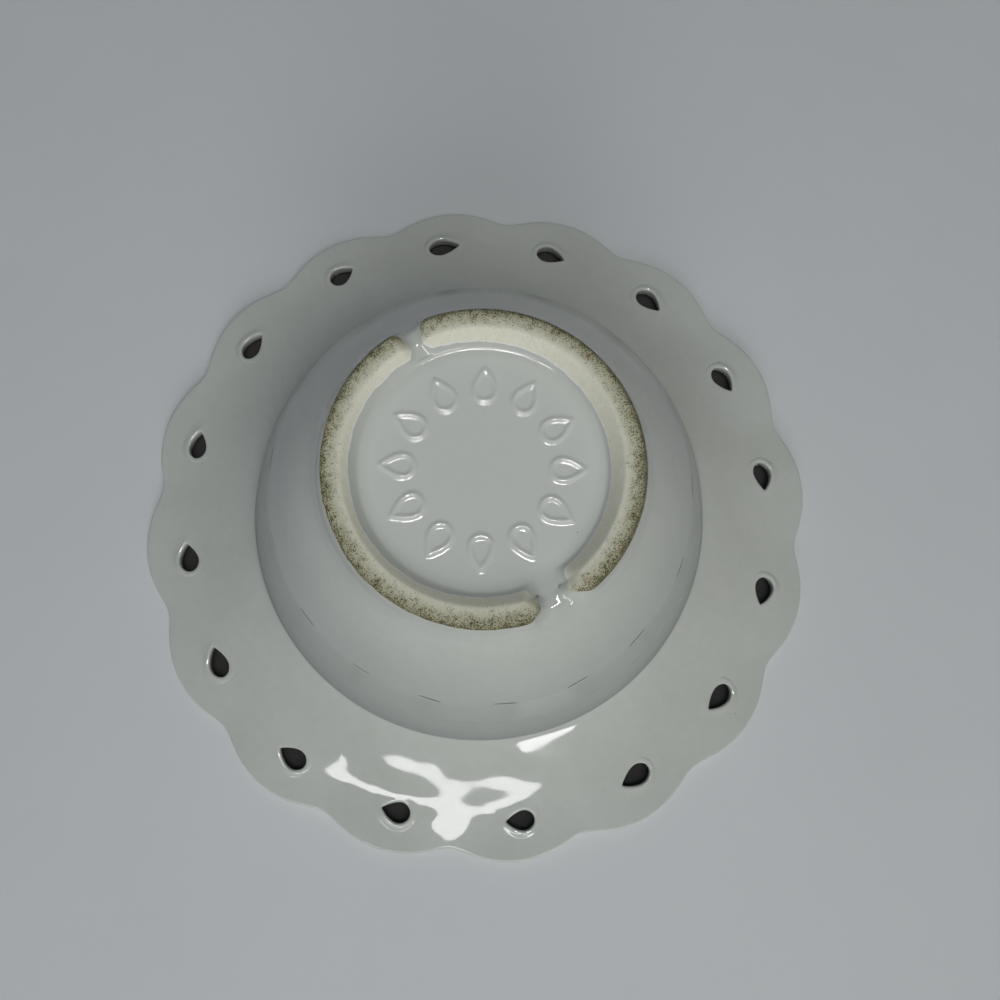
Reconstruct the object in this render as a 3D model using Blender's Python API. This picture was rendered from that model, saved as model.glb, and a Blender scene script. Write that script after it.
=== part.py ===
"""Pierced bowl of slip-cast, glazed earthenware with a scalloped rim, lying rim down.

The bowl is drawn upright, with heights counted up from the foot tread, as sections turned
about its own axis. An empty then turns the finished bowl over, so that it rests on its rim
at height zero with the foot on top. The casting is split at level joints into the pieces that
a potter would lute together: two foot arcs, a base dish, a wall and a pierced rim.
"""

import math

import bmesh
import bpy
from mathutils import Matrix, Vector

# Overall sizes, in metres
RIM_DIAMETER = 0.152
BOWL_HEIGHT = 0.058
CASTING_THICKNESS = 0.0036
JOINT_GAP = 0.0003

# Outer profile of the wall: foot, shoulder and neck, where the rim flares out
SHOULDER_DIAMETER = 0.0832
SHOULDER_HEIGHT = 0.0213
SHOULDER_ROUNDING = 0.0080
NECK_DIAMETER = 0.0984
NECK_DROP = 0.0122
NECK_ROUNDING = 0.0030

# Rim: its outer band lies almost level, and steepens towards the neck
BAND_WIDTH = 0.0105
BAND_SLOPE = math.radians(6.0)
BAND_ROUNDING = 0.0400
RIM_SEAT_DROP = 0.0026

# Scalloped outline
LOBE_COUNT = 16
SCALLOP_DEPTH = 0.0031
SCALLOP_REACH = 0.0125
NOTCH_SOFTNESS = 0.0010

# One teardrop piercing in each lobe, its point following the rim round
PIERCING_INSET = 0.0092
PIERCING_LENGTH = 0.0068
PIERCING_WIDTH = 0.0044
PIERCING_POINT_ROUNDING = 0.0004
PIERCING_LEAD = math.radians(-2.2)

# Base dish
BASE_THICKNESS = 0.0042
COVE_ROUNDING = 0.0060

# Foot: two arcs with a wide and a narrow drain gap between them
FOOT_DIAMETER = 0.0570
FOOT_HEIGHT = 0.0035
TREAD_WIDTH = 0.0036
FOOT_ROOT_WIDTH = 0.0062
FOOT_OUTER_ROUNDING = 0.0010
FOOT_INNER_ROUNDING = 0.0008
WIDE_GAP = 0.0052
NARROW_GAP = 0.0034
FOOT_END_ROUNDING = 0.0009

# Facets
WALL_STEPS = 96
STEPS_PER_LOBE = 10
FOOT_ARC_STEPS = 40
ROUNDING_STEPS = 3
LIP_STEPS = 6
PIERCING_STEPS = 10
FOOT_END_STEPS = 2
SHARP_ANGLE = math.radians(35.0)
MERGE_DISTANCE = 0.000005

# Levels that pieces share
LIP_RADIUS = CASTING_THICKNESS / 2
LIP_CENTRE = Vector((RIM_DIAMETER / 2 - LIP_RADIUS, BOWL_HEIGHT - LIP_RADIUS))
FLOOR_HEIGHT = FOOT_HEIGHT + BASE_THICKNESS
WALL_SEAT_HEIGHT = FLOOR_HEIGHT + COVE_ROUNDING
RIM_SEAT_HEIGHT = BOWL_HEIGHT - NECK_DROP - RIM_SEAT_DROP
PUNCH_REACH = 1.5 * CASTING_THICKNESS


def clear_scene():
    """Remove every object that the scene starts with."""
    for item in list(bpy.data.objects):
        bpy.data.objects.remove(item, do_unlink=True)


def ceramic(name, colour, roughness, coat):
    """Make one Principled material for a fired and glazed, or a bare, clay surface."""
    material = bpy.data.materials.new(name)
    material.use_nodes = True
    shader = material.node_tree.nodes["Principled BSDF"]
    shader.inputs["Base Color"].default_value = (*colour, 1.0)
    shader.inputs["Roughness"].default_value = roughness
    shader.inputs["Metallic"].default_value = 0.0
    shader.inputs["Coat Weight"].default_value = coat
    return material


def white_glaze(name):
    """Glossy cool white glaze."""
    return ceramic(name, (0.62, 0.64, 0.63), 0.08, 0.5)


def bare_clay(name):
    """Unglazed cream clay, rubbed dull on the tread."""
    return ceramic(name, (0.55, 0.51, 0.42), 0.85, 0.0)


def turn_between(along, onward):
    """Signed angle from one heading to the next."""
    return math.atan2(along.cross(onward), along.dot(onward))


def limited_roundings(corners):
    """Roundings of a path's corners, made smaller where the runs beside them are too short."""
    runs = [end - start for (start, _), (end, _) in zip(corners, corners[1:])]
    turns = [0.0] + [turn_between(*pair) for pair in zip(runs, runs[1:])] + [0.0]
    tangents = [rounding * math.tan(abs(turn) / 2) for (_, rounding), turn in zip(corners, turns)]
    shares = [1.0] * len(corners)
    for index, run in enumerate(runs):
        taken = tangents[index] + tangents[index + 1]
        if taken > run.length:
            shares[index] = min(shares[index], run.length / taken)
            shares[index + 1] = min(shares[index + 1], run.length / taken)
    return [rounding * share for (_, rounding), share in zip(corners, shares)]


def rounded_path(corners):
    """Return the points of an open path of (place, rounding) corners, with arcs at the corners."""
    places = [place for place, _ in corners]
    roundings = limited_roundings(corners)[1:-1]
    points = [places[0].copy()]
    for before, corner, after, rounding in zip(places, places[1:], places[2:], roundings):
        along = (corner - before).normalized()
        turn = turn_between(along, after - corner)
        tangent = rounding * math.tan(abs(turn) / 2)
        start = corner - along * tangent
        side = Vector((-along.y, along.x)) * math.copysign(rounding, turn)
        for step in range(ROUNDING_STEPS + 1):
            swing = Matrix.Rotation(turn * step / ROUNDING_STEPS, 2)
            points.append(start + side - swing @ side)
    points.append(places[-1].copy())
    return points


def parallel_corners(corners, distance):
    """Shift a path of corners to its left, with roundings that stay concentric."""
    places = [place for place, _ in corners]
    headings = [(b - a).normalized() for a, b in zip(places, places[1:])]
    lefts = [Vector((-heading.y, heading.x)) for heading in headings]
    shifted = [(places[0] + lefts[0] * distance, 0.0)]
    for index in range(1, len(places) - 1):
        mitre = (lefts[index - 1] + lefts[index]).normalized()
        place = places[index] + mitre * (distance / mitre.dot(lefts[index]))
        turn = headings[index - 1].cross(headings[index])
        rounding = corners[index][1] - math.copysign(distance, turn)
        shifted.append((place, max(rounding, JOINT_GAP)))
    shifted.append((places[-1] + lefts[-1] * distance, 0.0))
    return shifted


def outer_corners():
    """Corners of the outer profile, from the foot's root up and out to the lip."""
    band = Vector((math.cos(BAND_SLOPE), math.sin(BAND_SLOPE)))
    lip_edge = LIP_CENTRE + Vector((band.y, -band.x)) * LIP_RADIUS
    return [
        (Vector((FOOT_DIAMETER / 2, FOOT_HEIGHT)), 0.0),
        (Vector((SHOULDER_DIAMETER / 2, SHOULDER_HEIGHT)), SHOULDER_ROUNDING),
        (Vector((NECK_DIAMETER / 2, BOWL_HEIGHT - NECK_DROP)), NECK_ROUNDING),
        (lip_edge - band * BAND_WIDTH, BAND_ROUNDING),
        (lip_edge, 0.0),
    ]


def inner_corners():
    """Corners of the well, from the middle of its floor up and out to the lip."""
    corners = parallel_corners(outer_corners(), CASTING_THICKNESS)
    foot_end = corners[0][0]
    heading = (corners[1][0] - foot_end).normalized()
    floor_edge = foot_end + heading * ((FLOOR_HEIGHT - foot_end.y) / heading.y)
    return [(Vector((0.0, FLOOR_HEIGHT)), 0.0), (floor_edge, COVE_ROUNDING)] + corners[1:]


def between(path, low, high):
    """Cut a rising path at two heights and return what lies between them."""
    kept = []
    for start, end in zip(path, path[1:]):
        if end.y <= low or start.y >= high or end.y == start.y:
            continue
        rise = end - start
        first = start + rise * max(0.0, (low - start.y) / rise.y)
        last = start + rise * min(1.0, (high - start.y) / rise.y)
        if not kept:
            kept.append(first)
        kept.append(last)
    return kept


def turned_mesh(section, steps, closed):
    """Turn a section of (radius, height) points right round the upright axis."""
    mesh = bmesh.new()
    verts = [mesh.verts.new((point.x, 0.0, point.y)) for point in section]
    pairs = list(zip(verts, verts[1:]))
    if closed:
        pairs.append((verts[-1], verts[0]))
    edges = [mesh.edges.new(pair) for pair in pairs]
    bmesh.ops.spin(
        mesh,
        geom=verts + edges,
        axis=(0, 0, 1),
        cent=(0, 0, 0),
        angle=2 * math.pi,
        steps=steps,
        use_merge=True,
    )
    bmesh.ops.remove_doubles(mesh, verts=mesh.verts, dist=MERGE_DISTANCE)
    bmesh.ops.recalc_face_normals(mesh, faces=mesh.faces)
    return mesh


def add_object(name, mesh, parent, material):
    """Turn a finished mesh into a smooth-shaded object under the bowl's empty."""
    data = bpy.data.meshes.new(name)
    mesh.to_mesh(data)
    mesh.free()
    data.shade_smooth()
    data.set_sharp_from_angle(angle=SHARP_ANGLE)
    data.materials.append(material)
    item = bpy.data.objects.new(name, data)
    bpy.context.scene.collection.objects.link(item)
    item.parent = parent
    return item


def lobe_radius(azimuth):
    """Radius of the scalloped outline: circular lobes with softened notches between them."""
    tip = RIM_DIAMETER / 2
    half_lobe = math.pi / LOBE_COUNT
    notch = tip - SCALLOP_DEPTH - NOTCH_SOFTNESS / 2
    rise = tip - notch * math.cos(half_lobe)
    arc = (rise**2 + (notch * math.sin(half_lobe)) ** 2) / (2 * rise)
    centre = tip - arc

    def reach(offset):
        return centre * math.cos(offset) + math.sqrt(arc**2 - (centre * math.sin(offset)) ** 2)

    offset = (azimuth + half_lobe) % (2 * half_lobe) - half_lobe
    own = reach(offset)
    next_offset = offset - math.copysign(2 * half_lobe, offset)
    beside = reach(next_offset) if abs(centre * math.sin(next_offset)) < arc else 0.0
    return (own + beside + math.hypot(own - beside, NOTCH_SOFTNESS)) / 2


def scallop(mesh):
    """Draw the rim's edge in between the lobes, fading out towards the neck."""
    tip = RIM_DIAMETER / 2
    full = lobe_radius(0.0)
    for vert in mesh.verts:
        radius = math.hypot(vert.co.x, vert.co.y)
        share = (radius - (tip - LIP_RADIUS - SCALLOP_REACH)) / SCALLOP_REACH
        share = min(max(share, 0.0), 1.0)
        ease = share * share * (3 - 2 * share)
        drawn = radius - ease * (full - lobe_radius(math.atan2(vert.co.y, vert.co.x)))
        vert.co.x *= drawn / radius
        vert.co.y *= drawn / radius


def teardrop_outline():
    """Points of one piercing: a round end, and straight sides to a softened point."""
    end = PIERCING_WIDTH / 2
    point = PIERCING_POINT_ROUNDING
    span = PIERCING_LENGTH - end - point
    lean = math.acos((end - point) / span)
    outline = []
    for step in range(PIERCING_STEPS + 1):
        angle = lean + (2 * math.pi - 2 * lean) * step / PIERCING_STEPS
        outline.append(Vector((math.cos(angle), math.sin(angle))) * end)
    for step in range(ROUNDING_STEPS + 1):
        angle = -lean + 2 * lean * step / ROUNDING_STEPS
        outline.append(Vector((span + point * math.cos(angle), point * math.sin(angle))))
    middle = (PIERCING_LENGTH - 2 * end) / 2
    return [place - Vector((middle, 0.0)) for place in outline]


def piercing_cutter(parent):
    """Punches for all the piercings, square to the rim's band, as one hidden guide."""
    mesh = bmesh.new()
    radius = RIM_DIAMETER / 2 - PIERCING_INSET
    drop = (LIP_CENTRE.x - radius) * math.tan(BAND_SLOPE)
    height = LIP_CENTRE.y - drop
    for lobe in range(LOBE_COUNT):
        azimuth = 2 * math.pi * lobe / LOBE_COUNT + PIERCING_LEAD
        place = (
            Matrix.Rotation(azimuth, 4, "Z")
            @ Matrix.Translation((radius, 0, height))
            @ Matrix.Rotation(-BAND_SLOPE, 4, "Y")
        )
        # The outline's length runs along the rim, its width across it
        outline = [place @ Vector((-p.y, p.x, -PUNCH_REACH)) for p in teardrop_outline()]
        face = mesh.faces.new([mesh.verts.new(point) for point in outline])
        grown = bmesh.ops.extrude_face_region(mesh, geom=[face], use_keep_orig=True)["geom"]
        top = [item for item in grown if isinstance(item, bmesh.types.BMVert)]
        stroke = place.to_3x3() @ Vector((0, 0, 2 * PUNCH_REACH))
        bmesh.ops.translate(mesh, verts=top, vec=stroke)
    bmesh.ops.recalc_face_normals(mesh, faces=mesh.faces)
    data = bpy.data.meshes.new("piercing_punches")
    mesh.to_mesh(data)
    mesh.free()
    punches = bpy.data.objects.new("piercing_punches", data)
    bpy.context.scene.collection.objects.link(punches)
    punches.parent = parent
    punches.hide_render = True
    punches.display_type = "WIRE"
    return punches


def lip_points():
    """The full round of the lip, from its under side to its crown."""
    start = BAND_SLOPE - math.pi / 2
    points = []
    for step in range(1, LIP_STEPS + 1):
        angle = start + (math.pi / 2 - start) * step / LIP_STEPS
        points.append(LIP_CENTRE + Vector((math.cos(angle), math.sin(angle))) * LIP_RADIUS)
    return points


def build_rim(parent):
    """Flaring rim with its scalloped edge and one piercing in each lobe."""
    low = RIM_SEAT_HEIGHT + JOINT_GAP
    outer = between(rounded_path(outer_corners()), low, BOWL_HEIGHT)
    inner = between(rounded_path(inner_corners()), low, BOWL_HEIGHT)[:-1]
    section = outer + lip_points() + inner[::-1]
    mesh = turned_mesh(section, LOBE_COUNT * STEPS_PER_LOBE, closed=True)
    scallop(mesh)
    rim = add_object("pierced_rim", mesh, parent, white_glaze("rim_glaze"))
    cut = rim.modifiers.new("piercings", "BOOLEAN")
    cut.operation = "DIFFERENCE"
    cut.solver = "EXACT"
    cut.object = piercing_cutter(parent)
    return rim


def build_wall(parent):
    """Wall of the well, from the base dish over the shoulder to the rim's seat."""
    low = WALL_SEAT_HEIGHT + JOINT_GAP
    outer = between(rounded_path(outer_corners()), low, RIM_SEAT_HEIGHT)
    inner = between(rounded_path(inner_corners()), low, RIM_SEAT_HEIGHT)
    mesh = turned_mesh(outer + inner[::-1], WALL_STEPS, closed=True)
    return add_object("bowl_wall", mesh, parent, white_glaze("wall_glaze"))


def build_base(parent):
    """Base dish: the floor of the well, its cove, and the recessed panel under it."""
    outer = between(rounded_path(outer_corners()), FOOT_HEIGHT, WALL_SEAT_HEIGHT)
    inner = between(rounded_path(inner_corners()), FLOOR_HEIGHT, WALL_SEAT_HEIGHT)
    underside = [Vector((0.0, FOOT_HEIGHT))]
    floor = [Vector((0.0, FLOOR_HEIGHT))]
    mesh = turned_mesh(underside + outer + inner[::-1] + floor, WALL_STEPS, closed=False)
    return add_object("base_dish", mesh, parent, white_glaze("base_glaze"))


def foot_section():
    """Section of the foot: a level tread, an upright outer side and a sloping inner side."""
    outer = FOOT_DIAMETER / 2
    seat = FOOT_HEIGHT - JOINT_GAP
    return rounded_path(
        [
            (Vector((outer, seat)), 0.0),
            (Vector((outer, 0.0)), FOOT_OUTER_ROUNDING),
            (Vector((outer - TREAD_WIDTH, 0.0)), FOOT_INNER_ROUNDING),
            (Vector((outer - FOOT_ROOT_WIDTH, seat)), 0.0),
        ]
    )


def build_foot_arc(name, start, end, parent):
    """One arc of the foot between the two drain gaps, with softened ends."""
    mesh = bmesh.new()
    section = foot_section()
    verts = [mesh.verts.new((point.x, 0.0, point.y)) for point in section]
    face = mesh.faces.new(verts)
    bmesh.ops.rotate(mesh, verts=verts, matrix=Matrix.Rotation(start, 3, "Z"))
    edges = list(face.edges)
    mesh.faces.remove(face)
    spun = bmesh.ops.spin(
        mesh,
        geom=verts + edges,
        axis=(0, 0, 1),
        cent=(0, 0, 0),
        angle=end - start,
        steps=FOOT_ARC_STEPS,
    )["geom_last"]
    last = [item for item in spun if isinstance(item, bmesh.types.BMVert)]
    caps = [bmesh.ops.contextual_create(mesh, geom=ring)["faces"][0] for ring in (verts, last)]
    seat = FOOT_HEIGHT - JOINT_GAP
    rims = [
        edge
        for cap in caps
        for edge in cap.edges
        if any(abs(vert.co.z - seat) > MERGE_DISTANCE for vert in edge.verts)
    ]
    bmesh.ops.bevel(
        mesh,
        geom=rims,
        offset=FOOT_END_ROUNDING,
        offset_type="OFFSET",
        segments=FOOT_END_STEPS,
        profile=0.5,
        affect="EDGES",
    )
    bmesh.ops.recalc_face_normals(mesh, faces=mesh.faces)
    return add_object(name, mesh, parent, bare_clay(name + "_clay"))


def build_foot(parent):
    """Both foot arcs: the wide drain gap faces +X and the narrow one faces -X."""
    middle = FOOT_DIAMETER / 2 - TREAD_WIDTH / 2
    wide = math.asin(WIDE_GAP / 2 / middle)
    narrow = math.asin(NARROW_GAP / 2 / middle)
    build_foot_arc("foot_arc_a", wide, math.pi - narrow, parent)
    build_foot_arc("foot_arc_b", math.pi + narrow, 2 * math.pi - wide, parent)


def main():
    """Build the bowl upright, then turn it over on to its rim."""
    clear_scene()
    bowl = bpy.data.objects.new("bowl_on_its_rim", None)
    bpy.context.scene.collection.objects.link(bowl)
    bowl.location = (0.0, 0.0, BOWL_HEIGHT)
    bowl.rotation_euler = (math.pi, 0.0, 0.0)
    build_foot(bowl)
    build_base(bowl)
    build_wall(bowl)
    build_rim(bowl)


main()
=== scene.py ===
"""Looks of a pierced bowl of slip-cast, glazed earthenware that lies rim down on a pale table.

The bowl is modelled as one skin. A circle is extruded ring by ring along the bowl's section, the
rim is pierced, the shoulder is nicked, the foot is parted by its drain gaps and the edge is drawn
in to scallops. The smoothed skin is then parted into the pieces that stand for the CAD nodes.
"""

import logging
import math
import random
from collections.abc import Callable, Iterable, Iterator
from contextlib import contextmanager
from dataclasses import dataclass, field
from enum import Enum, IntEnum

import bmesh
import bpy
import numpy as np
from mathutils import Matrix, Vector


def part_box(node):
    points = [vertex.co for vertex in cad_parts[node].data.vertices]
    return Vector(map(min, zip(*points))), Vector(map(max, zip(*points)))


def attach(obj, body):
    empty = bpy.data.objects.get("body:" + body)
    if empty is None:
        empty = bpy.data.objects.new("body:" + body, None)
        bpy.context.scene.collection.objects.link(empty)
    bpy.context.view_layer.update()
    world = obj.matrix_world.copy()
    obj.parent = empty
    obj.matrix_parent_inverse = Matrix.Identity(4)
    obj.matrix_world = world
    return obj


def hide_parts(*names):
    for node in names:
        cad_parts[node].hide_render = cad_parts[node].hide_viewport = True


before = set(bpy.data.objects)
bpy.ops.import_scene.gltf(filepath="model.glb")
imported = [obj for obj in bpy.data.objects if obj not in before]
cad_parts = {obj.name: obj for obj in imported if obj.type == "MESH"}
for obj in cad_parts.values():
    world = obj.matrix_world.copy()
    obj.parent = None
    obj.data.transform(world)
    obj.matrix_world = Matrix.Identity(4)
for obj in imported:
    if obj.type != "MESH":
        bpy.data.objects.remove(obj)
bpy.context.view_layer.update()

LOG = logging.getLogger("pierced_bowl")
MM = 0.001

LOBES = 16
COLUMNS_PER_LOBE = 8
COLUMNS = LOBES * COLUMNS_PER_LOBE
LOBE_ANGLE = 2 * math.pi / LOBES
COLUMN_ANGLE = 2 * math.pi / COLUMNS
PATCH_CELLS = 4

Tree = bpy.types.NodeTree
Socket = bpy.types.NodeSocket
Span = tuple[float, float]
Angle = float | np.ndarray


class Part(Enum):
    """The pieces that the skin is parted into: piece name, CAD node and kind of finish."""

    RIM = ("glazed_rim", "pierced_rim", "glaze")
    WALL = ("glazed_wall", "bowl_wall", "glaze")
    BASE = ("glazed_base", "base_dish", "glaze")
    FOOT_A = ("bare_foot_a", "foot_arc_a", "biscuit")
    FOOT_B = ("bare_foot_b", "foot_arc_b", "biscuit")

    def __init__(self, piece: str, node: str, slot: str) -> None:
        """Name the three values.

        Args:
            piece: name of the finished piece.
            node: name of the CAD node that it stands for.
            slot: kind of finish, glaze or biscuit.
        """
        self.piece = piece
        self.node = node
        self.slot = slot


def in_mm(*sizes: float) -> tuple[float, ...]:
    """Turn sizes in millimetres into metres."""
    return tuple(size * MM for size in sizes)


def smooth_step(value: float, low: float, high: float) -> float:
    """Rise smoothly from 0 at low to 1 at high."""
    share = min(max((value - low) / (high - low), 0.0), 1.0)
    return share * share * (3 - 2 * share)


def wrapped(angle: Angle, period: float = 2 * math.pi) -> Angle:
    """Return an angle as its turn from the nearest whole period."""
    return (angle + period / 2) % period - period / 2


def azimuth_of(place: Vector) -> float:
    """Azimuth of a place about the bowl's axis."""
    return math.atan2(place.y, place.x)


def radius_of(place: Vector) -> float:
    """Distance of a place from the bowl's axis."""
    return math.hypot(place.x, place.y)


def around(radius: float, azimuth: float, height: float) -> Vector:
    """Place at a radius, an azimuth and a height."""
    return Vector((radius * math.cos(azimuth), radius * math.sin(azimuth), height))


def places_of(piece: bpy.types.Object) -> np.ndarray:
    """Places of a piece's vertices, one row each.

    Args:
        piece: the mesh object.

    Returns:
        The places.
    """
    places = np.zeros((len(piece.data.vertices), 3), np.float32)
    piece.data.vertices.foreach_get("co", places.ravel())
    return places


def select_only(piece: bpy.types.Object) -> None:
    """Make one object the whole selection and the active object.

    Args:
        piece: the object to select.
    """
    bpy.ops.object.select_all(action="DESELECT")
    piece.select_set(True)
    bpy.context.view_layer.objects.active = piece


@contextmanager
def editing(piece: bpy.types.Object) -> Iterator[None]:
    """Hold a piece in edit mode, with nothing selected, while the block runs.

    Args:
        piece: the mesh object to edit.
    """
    select_only(piece)
    bpy.ops.object.mode_set(mode="EDIT")
    bpy.ops.mesh.select_mode(type="VERT")
    bpy.ops.mesh.select_all(action="DESELECT")
    yield
    bpy.ops.object.mode_set(mode="OBJECT")


def edited(piece: bpy.types.Object) -> bmesh.types.BMesh:
    """Return the mesh that edit mode shows, with its tables up to date.

    Args:
        piece: the object in edit mode.

    Returns:
        The mesh.
    """
    mesh = bmesh.from_edit_mesh(piece.data)
    for table in (mesh.verts, mesh.edges, mesh.faces):
        table.ensure_lookup_table()
        table.index_update()
    return mesh


def pick(piece: bpy.types.Object, kind: str, test: Callable[[object], bool]) -> int:
    """Select the elements that pass a test, and nothing else.

    Args:
        piece: the object in edit mode.
        kind: "VERT", "EDGE" or "FACE".
        test: says whether an element is picked.

    Returns:
        How many elements were picked.
    """
    bpy.ops.mesh.select_mode(type=kind)
    bpy.ops.mesh.select_all(action="DESELECT")
    mesh = edited(piece)
    table = {"VERT": mesh.verts, "EDGE": mesh.edges, "FACE": mesh.faces}[kind]
    picked = [item for item in table if test(item)]
    for item in picked:
        item.select_set(True)
    mesh.select_flush_mode()
    bmesh.update_edit_mesh(piece.data)
    return len(picked)


def srgb(code: str) -> tuple[float, float, float, float]:
    """Turn an sRGB hex colour into the linear colour that a socket takes.

    Args:
        code: the colour as a hash sign and six digits.

    Returns:
        Red, green, blue and alpha.
    """
    shares = [int(code[start : start + 2], 16) / 255 for start in (1, 3, 5)]
    linear = [share / 12.92 if share <= 0.04045 else ((share + 0.055) / 1.055) ** 2.4 for share in shares]
    return (*linear, 1.0)


def add_node(
    tree: bpy.types.NodeTree,
    kind: str,
    inputs: dict[str | int, object] | None = None,
    **settings: object,
) -> bpy.types.Node:
    """Add a node with its settings, values and links.

    Args:
        tree: the node tree to add to.
        kind: the node's type name.
        inputs: a value, or an output socket to link from, for each input by name or index.
        settings: the node's own properties.

    Returns:
        The new node.
    """
    node = tree.nodes.new(kind)
    for name, value in settings.items():
        setattr(node, name, value)
    for key, value in (inputs or {}).items():
        if isinstance(value, Socket):
            tree.links.new(value, node.inputs[key])
        else:
            node.inputs[key].default_value = value
    return node


def axis_distance(tree: Tree, coords: Socket) -> Socket:
    """Distance from the bowl's axis.

    Args:
        tree: the material's node tree.
        coords: object coordinates.

    Returns:
        The distance socket, in metres.
    """
    flat = add_node(tree, "ShaderNodeVectorMath", {0: coords, 1: (1, 1, 0)}, operation="MULTIPLY")
    length = add_node(tree, "ShaderNodeVectorMath", {0: flat.outputs["Vector"]}, operation="LENGTH")
    return length.outputs["Value"]


class Finish:
    """A material that is made from nodes."""

    title: str = ""

    def surface(self, tree: Tree, coords: Socket) -> dict[str, object]:
        """Add the finish's nodes and return the inputs of its principled surface."""
        raise NotImplementedError

    def dress(self, *pieces: bpy.types.Object) -> None:
        """Make the material and give it to pieces as their only one.

        Args:
            pieces: the pieces to dress.
        """
        material = bpy.data.materials.new(self.title)
        material.use_nodes = True
        tree = material.node_tree
        tree.nodes.clear()
        coords = add_node(tree, "ShaderNodeTexCoord").outputs["Object"]
        shader = add_node(tree, "ShaderNodeBsdfPrincipled", self.surface(tree, coords))
        add_node(tree, "ShaderNodeOutputMaterial", {"Surface": shader.outputs["BSDF"]})
        for piece in pieces:
            piece.data.materials.clear()
            piece.data.materials.append(material)


@dataclass(frozen=True)
class GlazeCoat:
    """Looks of the fired glaze, shared by the coated pieces and the coated edges of the foot."""

    thick: str = "#d3d7d0"
    thin: str = "#c9cdc5"
    # Painted shade: grey that darkens the lower wall into the neck.
    painted_neck_shade: str = "#9ea4a2"
    # Painted light: lighter colour of the panel inside the foot.
    painted_recess_light: str = "#e3e7e0"
    pinhole: str = "#5b5a50"
    # Darker colour along the bottoms of the shoulder nicks.
    nick_dark: str = "#4a483d"
    painted_recess_light_reach: Span = (23.4 * MM, 20.0 * MM)
    neck_shade_and_dullness_levels: Span = (52.0 * MM, 15.0 * MM)
    neck_shade_and_dullness_radius: float = 49.4 * MM
    pooling: float = 24.0 * MM
    mottle: float = 2.2 * MM
    mottle_share: float = 0.3
    mottle_span: Span = (0.3, 0.65)
    pinhole_spacing: float = 1.3 * MM
    pinhole_size: float = 0.14 * MM
    pinhole_core: float = 0.6
    pinhole_picks: Span = (0.93, 0.94)
    nick_dark_span: Span = (0.15, 0.5)
    peel: float = 1.7 * MM
    peel_height: float = 0.004 * MM
    wear_span: Span = (0.35, 0.7)
    roughness: Span = (0.03, 0.07)
    pooled_roughness: float = 0.38
    ior: float = 1.5

    def neck_shade_and_dullness(self, tree: Tree, coords: Socket) -> Socket:
        """Share of painted shade down the lower wall into the neck, which also dulls the coat there.

        Args:
            tree: the material's node tree.
            coords: object coordinates.

        Returns:
            The share socket, from 0 by the foot to 1 in the neck.
        """
        down_the_wall = add_node(
            tree,
            "ShaderNodeMapRange",
            {
                "Value": add_node(tree, "ShaderNodeSeparateXYZ", {"Vector": coords}).outputs["Z"],
                "From Min": self.neck_shade_and_dullness_levels[0],
                "From Max": self.neck_shade_and_dullness_levels[1],
            },
        )
        in_neck = add_node(
            tree,
            "ShaderNodeMath",
            {0: axis_distance(tree, coords), 1: self.neck_shade_and_dullness_radius},
            operation="LESS_THAN",
        )
        return add_node(
            tree,
            "ShaderNodeMath",
            {0: down_the_wall.outputs["Result"], 1: in_neck.outputs[0]},
            operation="MULTIPLY",
        ).outputs[0]

    def colour(self, tree: Tree, coords: Socket) -> Socket:
        """Colour of the coat: thick and thin places, mottling, painted shade down the lower wall into the
        neck, painted light on the panel inside the foot, pinholes and darker nicks.

        Args:
            tree: the material's node tree.
            coords: object coordinates.

        Returns:
            The colour socket.
        """
        pools = add_node(
            tree, "ShaderNodeTexNoise", {"Vector": coords, "Scale": 1 / self.pooling, "Detail": 2.0}
        )
        flecks = add_node(
            tree, "ShaderNodeTexNoise", {"Vector": coords, "Scale": 1 / self.mottle, "Detail": 3.0}
        )
        both = add_node(
            tree,
            "ShaderNodeMix",
            {0: self.mottle_share, 2: pools.outputs["Fac"], 3: flecks.outputs["Fac"]},
            data_type="FLOAT",
        )
        low, high = self.mottle_span
        depth = add_node(
            tree, "ShaderNodeMapRange", {"Value": both.outputs[0], "From Min": low, "From Max": high}
        )
        coat = add_node(
            tree,
            "ShaderNodeMix",
            {0: depth.outputs["Result"], 6: srgb(self.thin), 7: srgb(self.thick)},
            data_type="RGBA",
        )
        # Painted shade: grey mixed in down the lower wall into the neck.
        painted_neck_shade = add_node(
            tree,
            "ShaderNodeMix",
            {0: self.neck_shade_and_dullness(tree, coords), 6: coat.outputs[2], 7: srgb(self.painted_neck_shade)},
            data_type="RGBA",
        )
        # Painted light: the panel inside the foot ring is made lighter.
        outside, inside = self.painted_recess_light_reach
        recess_light_share = add_node(
            tree,
            "ShaderNodeMapRange",
            {"Value": axis_distance(tree, coords), "From Min": outside, "From Max": inside},
        )
        recess_lit = add_node(
            tree,
            "ShaderNodeMix",
            {0: recess_light_share.outputs["Result"], 6: painted_neck_shade.outputs[2], 7: srgb(self.painted_recess_light)},
            data_type="RGBA",
        )
        cells = add_node(
            tree, "ShaderNodeTexVoronoi", {"Vector": coords, "Scale": 1 / self.pinhole_spacing}
        )
        low, high = self.pinhole_picks
        chosen = add_node(
            tree,
            "ShaderNodeMapRange",
            {"Value": cells.outputs["Color"], "From Min": low, "From Max": high},
        )
        size = self.pinhole_size / self.pinhole_spacing
        core = size * self.pinhole_core
        dot = add_node(
            tree,
            "ShaderNodeMapRange",
            {"Value": cells.outputs["Distance"], "From Min": size, "From Max": core},
        )
        pitted = add_node(
            tree,
            "ShaderNodeMath",
            {0: chosen.outputs["Result"], 1: dot.outputs["Result"]},
            operation="MULTIPLY",
        )
        speckled = add_node(
            tree,
            "ShaderNodeMix",
            {0: pitted.outputs[0], 6: recess_lit.outputs[2], 7: srgb(self.pinhole)},
            data_type="RGBA",
        )
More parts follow.
